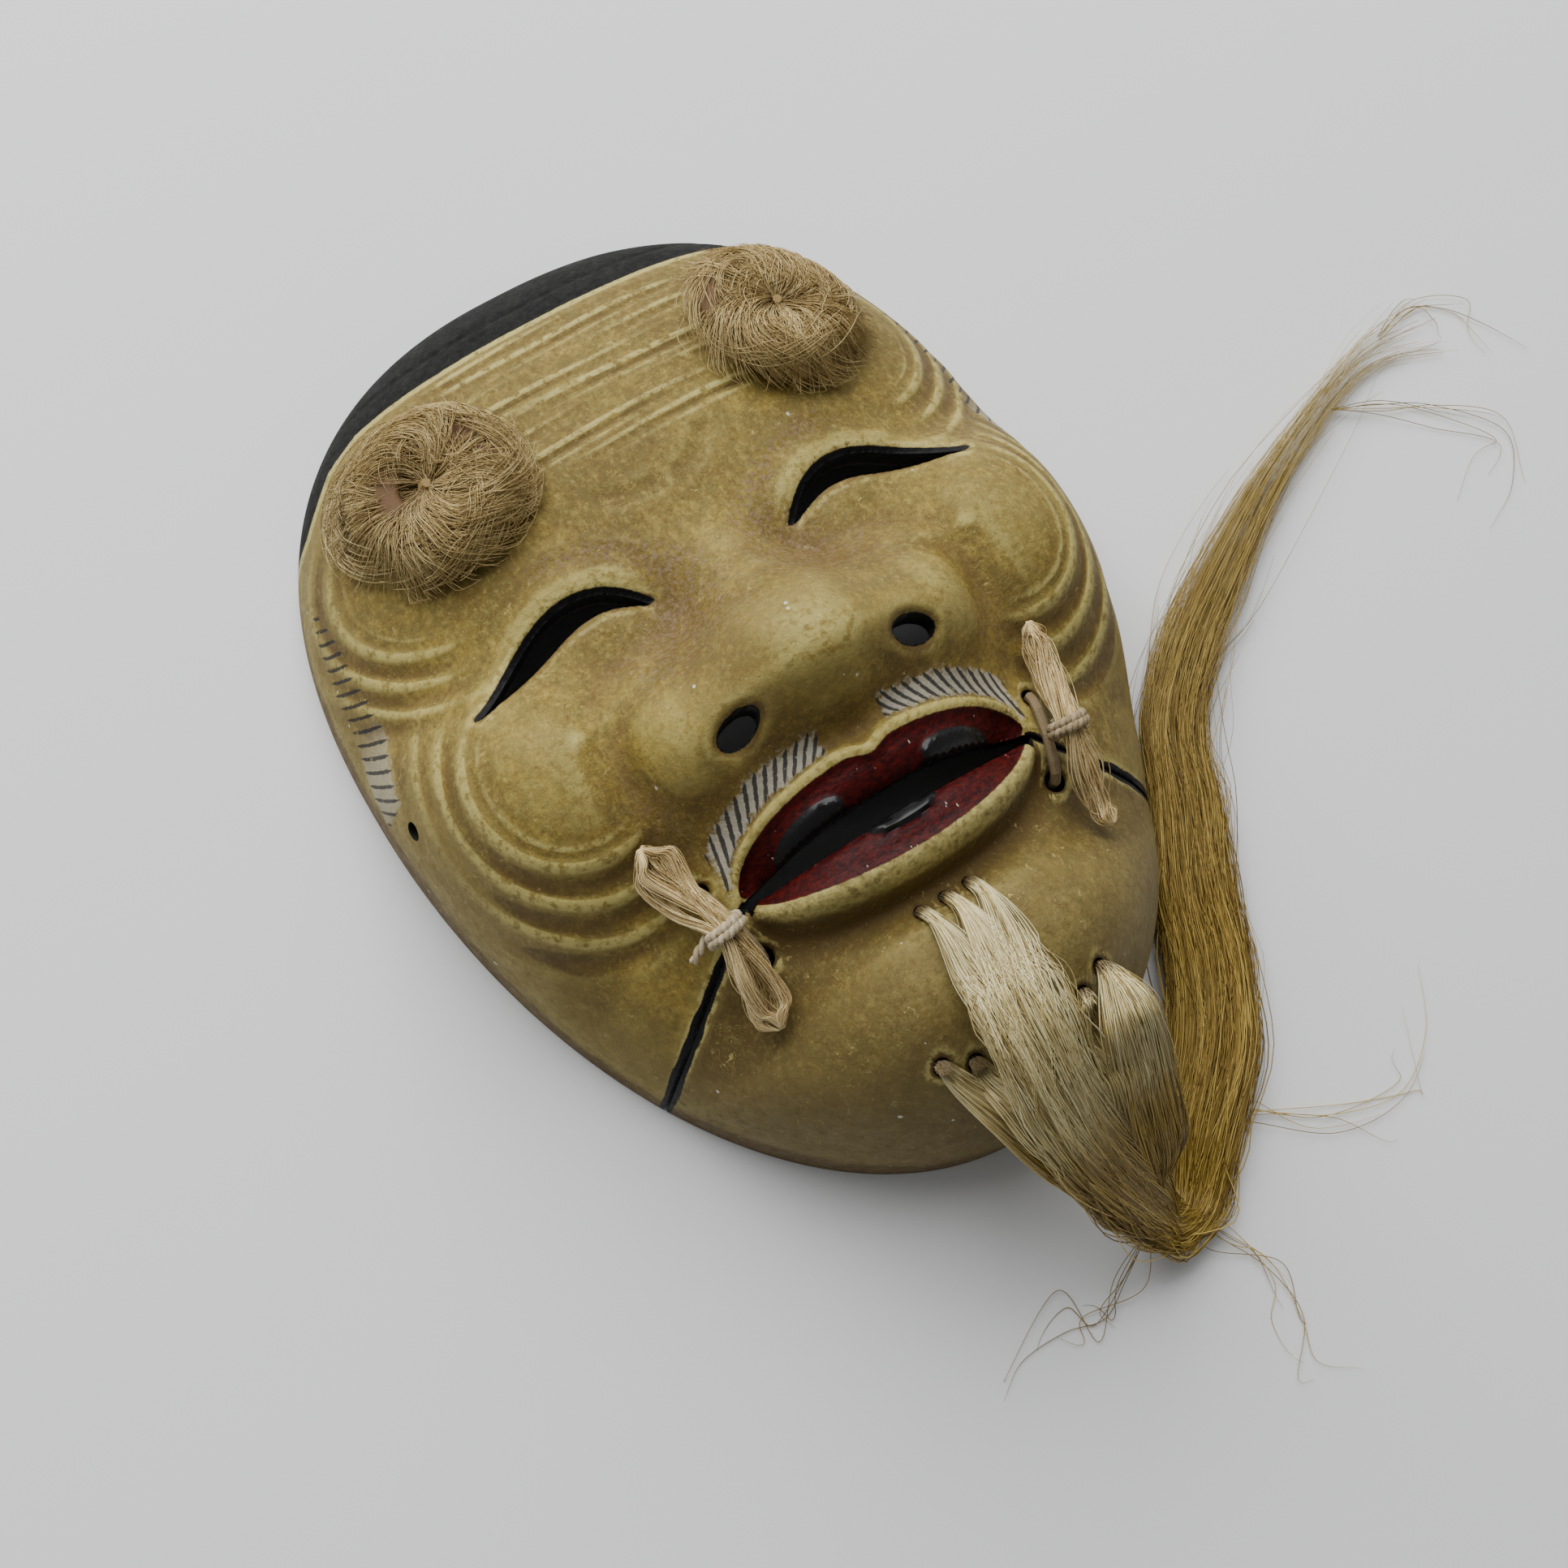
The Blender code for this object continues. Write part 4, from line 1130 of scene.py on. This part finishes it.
def bundle(stations, thickness, count, points, wave, clumps):
    # fibres along a route of (place, radius); thickness flattens them across the surface
    centre = np.array([[*spot] for spot, _ in stations])
    radius = np.array([r for _, r in stations]) * millimetre
    across, upward = lineFrame(centre, [0, 0, 1.0])
    dice = seededDice
    clumpA, clumpB = discPoints(clumps)
    clump = dice.integers(0, clumps, count)
    a = clumpA[clump] * 0.8 + dice.normal(0, 0.14, count)
    b = clumpB[clump] * 0.8 + dice.normal(0, 0.14, count)
    size = np.maximum(np.hypot(a, b), 1)
    a, b = (a / size)[:, None], (b / size)[:, None]
    phase = (clump * 1.3)[:, None] + dice.normal(0, 0.3, (count, 1))
    step = np.linspace(0, 1, len(stations))[None]
    a = a + wave * np.sin(step * 11 + phase) + dice.normal(0, 0.05, (count, len(stations)))
    b = b + wave * np.cos(step * 9 + phase * 1.7)
    # some fibres stand away from the bundle
    loose = (dice.random((count, 1)) < 0.07) * dice.normal(0, 0.35, (count, 1))
    a, b = a + loose * np.sin(step * 5 + phase), b + np.abs(loose) * 0.6
    level, raised = (a * radius)[..., None] * across[None], (b * radius * thickness)[..., None] * upward[None]
    return smoothThrough(centre[None] + level + raised, points)


def swingRoom(y):
    return max(ties["hingeY"] - y, 0) * math.tan(math.radians(ties["swing"]))


def ropePaths(route, radius, turns, points):
    # two strands twisted round each other
    line = smoothThrough(np.array([[*spot] for spot in route])[None], points)[0]
    across, upward = lineFrame(line, [0.2, 0.1, 1.0])
    angle = np.linspace(0, turns * 2 * math.pi, points)[:, None]
    lay = radius * (np.cos(angle) * across + np.sin(angle) * upward)
    return np.stack([line + lay, line - lay])


def makeTies(label, side, hankFinish, cordFinish):
    low, shoulder, high = ties["lifts"]
    waist, end, thick = ties["waistRadius"], ties["endRadius"], ties["hankRadius"]
    shape = ((41.8, -24.6, low, 0.6), (41.3, -26.0, low, end), (40.4, -29.0, low + 0.6, thick),
             (38.8, -36.0, shoulder, thick * 0.8), (36.9, -43.0, high, waist), (36.5, -46.5, high, waist),
             (35.8, -52.5, shoulder, thick * 0.92), (35.4, -58.8, low, thick * 0.85), (35.8, -62.2, low, end),
             (36.2, -64.0, low, 0.6))
    stations = [(frontPlace(side * x, y, lift + swingRoom(y)), radius) for x, y, lift, radius in shape]
    above, below = stations[4][0], stations[5][0]
    paths = bundle(stations, 0.85, ties["fibres"], 40, wave=0.42, clumps=5)
    radii = np.full(ties["fibres"], ties["fibreRadius"] * millimetre)
    hank = strandMesh(f"jaw_hank_{label}_fibres", paths, radii, taper=0.8)
    dress(hank, hankFinish, None, "hemp", f"jaw_hank_{label}")
    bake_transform(hank)
    axis = (above - below).normalized()
    east = axis.cross(Vector((0, 0, 1))).normalized()
    north = axis.cross(east)
    middle = (above + below) / 2
    reach = (ties["waistRadius"] + ties["bindingRadius"] + 0.4) * millimetre
    route = []
    for t in np.linspace(0, 1, 30):
        angle = 0.6 + ties["turns"] * 2 * math.pi * t
        grow = 1.0 + 0.05 * math.sin(7 * t)
        route.append(middle + (math.cos(angle) * east + 0.85 * math.sin(angle) * north) * reach * grow
                     + axis * (t - 0.5) * 2.6 * millimetre)
    tail = route[-1] + Vector((side * 3.4, -1.6, -1.2)) * millimetre
    route += [tail, tail + Vector((side * 2.4, -1.5, -1.4)) * millimetre]
    cords = ropePaths(route, 0.46 * millimetre, 22, 190)
    radii = np.full(2, ties["strandRadius"] * millimetre)
    binding = strandMesh(f"hank_binding_{label}_cord", cords, radii, sides=6, taper=0.9)
    dress(binding, cordFinish, "face", "hemp_cord", f"hank_binding_{label}")


cordTones = ((0.26, 0.19, 0.10), (0.42, 0.33, 0.19), (0.55, 0.46, 0.30), (0.2, 0.14, 0.07))
cordFinish = fibreFinish("twistedCord", cordTones, 0.75)
for label, side in (("left", -1), ("right", 1)):
    makeTies(label, side, hankFinish, cordFinish)
    for node, finish in ((f"jaw_cord_{label}", cordFinish), (f"brow_stitch_{label}", hempFinish)):
        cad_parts[node].data.materials.clear()
        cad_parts[node].data.materials.append(finish)
print("ties made")

# ---- beard ----

beard = {
    "hairRadius": 0.11,
    "hairShare": 1.0,
    "stations": 74,
    "clumps": 17,
    "lowest": 0.25,
    "foldStart": (11, -127, 14),
    "foldEnd": (24, -122.5, 5),
    "straysEach": 6,
    "strayRadius": 0.10,
    "rootTone": (0.10, 0.055, 0.02),
}
# the middle of the beard from chin to tip: layout x and y, height, half width, half thickness
beardLine = np.array([
    (-2.5, -81.5, 60.5, 8.0, 2.4), (-2.8, -90, 58.6, 8.2, 2.5), (-2.0, -100, 51.0, 8.4, 2.8),
    (1.0, -110, 39.4, 8.4, 3.1), (6.0, -119.5, 26.5, 8.0, 3.2), (11.2, -127.0, 15.5, 7.2, 3.0),
    (15.0, -131.6, 8.6, 6.4, 2.6), (19.5, -130.5, 5.0, 6.4, 2.8), (27, -121.8, 5.4, 8.0, 4.2),
    (41, -109, 5.4, 8.6, 4.2), (50, -95, 5.0, 8.2, 3.9), (56, -81, 4.9, 8.0, 3.8), (65, -65, 4.4, 7.2, 3.3),
    (72, -51, 4.0, 6.6, 3.0), (85, -38.5, 4.0, 6.2, 2.9), (97, -30.5, 3.9, 5.6, 2.8), (119, -18, 3.3, 4.2, 2.3),
    (145, -7, 2.5, 2.8, 1.7), (162, -3.0, 1.7, 5.0, 1.1), (180, -5.0, 1.2, 10.5, 0.7)])
locks = (
    # name, root, hairs, where it joins the line, across from-to, thick from-to, other node it stands for
    ("lip_lock_left", (-5.2, -60.0), 300, 0, (-1.0, -0.15), (-0.4, 1.0), ()),
    ("lip_lock_middle", (0.0, -60.0), 300, 0, (-0.55, 0.45), (-0.2, 1.0), ()),
    ("lip_lock_right", (5.2, -60.0), 310, 0, (-0.1, 0.95), (-0.4, 1.0), ()),
    ("chin_lock_outer_right", (17.0, -84.5), 330, 5, (0.25, 1.0), (-0.6, 0.9), ("beard_front",)),
    ("chin_lock_inner_right", (11.5, -87.0), 300, 5, (0.0, 0.6), (-1.0, 0.5), ()),
    ("chin_lock_outer_left", (-17.0, -84.5), 380, 4, (-1.0, -0.4), (-1.0, 0.2), ()),
    ("chin_lock_inner_left", (-11.5, -87.0), 300, 3, (-1.0, -0.3), (-1.0, 0.0), ("beard_tail",)),
)


def acrossLine(line):
    # the level direction to the left of the way the hair runs
    ahead = np.gradient(line[:, :2], axis=0)
    ahead /= np.linalg.norm(ahead, axis=1, keepdims=True)
    return np.stack([-ahead[:, 1], ahead[:, 0]], 1)


def lockKnots(root, count, joins, acrossRange, thickRange):
    dice = seededDice
    across = acrossLine(beardLine)
    clumps = beard["clumps"]
    clump = dice.integers(0, clumps, count)
    clumpA = dice.uniform(*acrossRange, clumps)
    clumpB = dice.uniform(*thickRange, clumps)
    a = clumpA[clump] + dice.normal(0, 0.10, count)
    b = clumpB[clump] + dice.normal(0, 0.25, count)
    size = np.maximum(np.hypot(a, b), 1.0)
    a, b = a / size, b / size
    # where each hair ends, as a share of the whole length: many fall short and a few reach the tip
    short, middling = dice.random(count) < 0.45, dice.uniform(0.48, 0.76, count)
    ends = np.where(short, middling, dice.uniform(0.72, 0.87, count))
    ends = np.where(dice.random(count) < 0.07, dice.uniform(0.87, 1.0, count), ends)
    x0, y0 = root
    turn = dice.random(count) * 2 * math.pi
    reach = np.sqrt(dice.random(count))
    rx, ry = reach * np.cos(turn), reach * np.sin(turn)
    knots = []
    bottom, top = backPlace(x0, y0, 0.5) / millimetre, frontPlace(x0, y0, 0.2) / millimetre
    knots.append(np.stack([x0 + rx * 0.9, y0 + ry * 0.9, np.full(count, (bottom.z + top.z) / 2)], 1))
    knots.append(np.stack([x0 + rx * 1.35, y0 + ry * 1.2 - 0.2, np.full(count, top.z + 0.2)], 1))
    first = beardLine[joins]
    joinX = first[0] + across[joins, 0] * a * first[3]
    joinY = first[1] + across[joins, 1] * a * first[3]
    fan = (0.12, 0.34, 0.66)
    if x0 > 10:
        # the right-hand locks hang outside the middle ones down to the fold
        route = ((x0 - 0.2, y0 - 2.4, 59.0, 2.4), (13.2, -94, 56.0, 5.6), (13.0, -102, 47.6, 6.4),
                 (13.2, -110, 37.4, 6.4), (13.6, -119, 26.2, 5.8))
        for px, py, pz, wide in route:
            x = px + (a - 0.5) * wide * 2.2 + rx * 1.2 + dice.normal(0, 0.3, count)
            onSkin = carvedAt(x, np.full(count, py)) + 2.2
            z = np.maximum(np.minimum(pz, onSkin + 2), onSkin) if py > y0 - 9 else np.full(count, pz)
            knots.append(np.stack([x, py + ry * 0.6, z + b * 1.4 + dice.normal(0, 0.2, count)], 1))
        fan = ()
    widths = (2.8, 4.8, 5.0) if x0 < -8 else (1.5, 2.5, 3.0)
    for share, width, lift in zip(fan, widths, (1.9, 2.6, 3.0)):
        x = x0 + (joinX - x0) * share + rx * width * 0.75
        y = y0 + (joinY - y0) * share + ry * 0.5 - 0.6
        surface = np.clip(carvedAt(x, y), first[2] * 0.25, None)
        onward = carvedAt(np.full(count, x0), np.full(count, y0)) + (first[2] - carvedAt(x0, y0)) * share
        z = np.maximum(surface, np.where(surface < onward - 8, onward, surface)) + lift + b * 1.2
        knots.append(np.stack([x, y, z], 1))
    wild = np.where(dice.random(count) < 0.35, 1.3, 0.25)
    # a few hairs leave the beard in slow curls
    flyaway = np.where(dice.random(count) < 0.05, dice.uniform(3, 12, count), 0)
    curl = dice.uniform(0, 6.3, count)
    for k in range(joins, len(beardLine)):
        px, py, pz, wide, thick = beardLine[k]
        wander = 1 + 0.10 * np.sin(k * 1.1 + clump * 2.1)
        spreadOut = a * wide * wander + dice.normal(0, 1, count) * wild + 0.6 * np.sin(k * 0.9 + clump)
        spreadOut = spreadOut + flyaway * (k - joins) / (len(beardLine) - joins) * np.sin(k * 0.75 + curl)
        x = px + across[k, 0] * spreadOut
        y = py + across[k, 1] * spreadOut
        z = np.maximum(pz + b * thick + dice.normal(0, 0.12, count), 0.3)
        knots.append(np.stack([x, y, z], 1))
    return np.stack(knots, 1), ends


def trimmed(paths, ends):
    # each path cut to its own share of its length, keeping the number of points
    stations = paths.shape[1]
    at = np.linspace(0, 1, stations)[None] * ends[:, None] * (stations - 1)
    low = np.minimum(at.astype(int), stations - 2)
    t = (at - low)[..., None]
    rows = np.arange(len(paths))[:, None]
    return paths[rows, low] * (1 - t) + paths[rows, low + 1] * t


def laidOut(paths, lowest):
    # from the face's layout to the frame, with nothing under lowest
    paths[:, :, 2] = np.maximum(paths[:, :, 2], lowest)
    return (paths + np.array([0, layoutY, 0])) * millimetre


def beardFinish(name):
    made, shader, mm = newFinish(name, {"Roughness": 0.42, "Specular IOR Level": 0.35})
    gold, tint, root = mm.attribute("gold"), mm.attribute("tint"), mm.attribute("root")
    white = tint.ramp((0.0, (0.30, 0.21, 0.06)), (1.0, (0.90, 0.83, 0.52)), (0.35, (0.58, 0.48, 0.22)))
    golden = tint.ramp((0.0, (0.16, 0.09, 0.012)), (1.0, (0.66, 0.48, 0.12)), (0.5, (0.34, 0.22, 0.036)))
    patch = mm.noise(0.12, 3, 0.6) - 0.5
    colour = (gold + patch * 0.5 + tint * 0.5 - 0.24).step(0.1, 0.75).mix(white, golden)
    colour = root.mix(colour, beard["rootTone"])
    feed(shader, baseColour=colour)
    return made


def beardAttributes(piece, rootPlace):
    points = pointsOf(piece.data)
    fromRoot = np.linalg.norm(points - np.array(rootPlace), axis=1) / millimetre
    setAttribute(piece.data, "root", 0.8 - 0.8 * ease((fromRoot - 1.6) / 2.2))
    downward = (points[:, 1] / millimetre - layoutY + 92) / -38
    nearChin = ease((points[:, 2] / millimetre - 22) / 34)
    setAttribute(piece.data, "gold", np.clip(1 - nearChin + 0.25 * downward, 0, 1))


hairFinish = beardFinish("longHair")
foldStart, foldEnd = (tuple(place(*beard[end])) for end in ("foldStart", "foldEnd"))
for name, root, hairs, joins, acrossRange, thickRange, more in locks:
    count = int(hairs * beard["hairShare"])
    knots, ends = lockKnots(root, count, joins, acrossRange, thickRange)
    paths = trimmed(smoothThrough(knots, beard["stations"]), ends)
    paths = laidOut(paths, beard["lowest"])
    radii = beard["hairRadius"] * millimetre * seededDice.uniform(0.7, 1.5, count)
    piece = strandMesh(f"{name}_hair", paths, radii)
    beardAttributes(piece, frontPlace(*root))
    dress(piece, hairFinish, None, "beard_hair", name, *more)
    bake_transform(piece)

# single hairs that stray from the beard: body, node it stands for, layout points with heights
strays = (
    ("loose_hair_tip_upper", "beard_tail",
     ((165, -1, 1.6), (175, 1.5, 1), (183, -3, 0.8), (189, -11, 0.8), (194, -20, 0.6))),
    ("loose_hair_tip_lower", "beard_tail",
     ((145, -10, 2.4), (155, -14, 1.5), (166, -20, 1), (177, -33, 0.8), (171, -44, 0.6), (160, -50, 0.6))),
    ("loose_hair_fold_left", "jaw",
     ((9, -131, 8), (1, -137, 3), (-6, -141, 1), (-14, -139, 0.7), (-24, -139, 0.6), (-31, -143, 0.6))),
    ("loose_hair_fold_right", "beard_tail",
     ((30, -121, 5), (40, -123, 2), (55, -133, 1), (70, -137, 0.8), (82, -130, 0.7), (89, -118, 0.6))),
    ("loose_hair_fold_low", "beard_tail",
     ((18, -131, 5), (23, -140, 2), (28, -150, 1), (27, -162, 0.7), (25, -170, 0.6), (32, -176, 0.6))),
)
for name, body, points in strays:
    count = beard["straysEach"]
    growing = np.linspace(0.4, 5.5, len(points))[None, :, None]
    drift = seededDice.normal(0, 1, (count, len(points), 3)) * growing * (1, 1, 0.08)
    # the first hair follows the points
    drift[0] = 0
    paths = trimmed(smoothThrough(np.array(points)[None] + drift, 44), np.linspace(1.0, 0.5, count))
    piece = strandMesh(f"{name}_strays", laidOut(paths, 0.2), np.full(count, beard["strayRadius"] * millimetre))
    for attribute, value in (("root", 0.0), ("gold", 0.75)):
        setAttribute(piece.data, attribute, np.full(len(piece.data.vertices), value))
    dress(piece, hairFinish, body, "beard_hair_gold", name)
print("beard made")
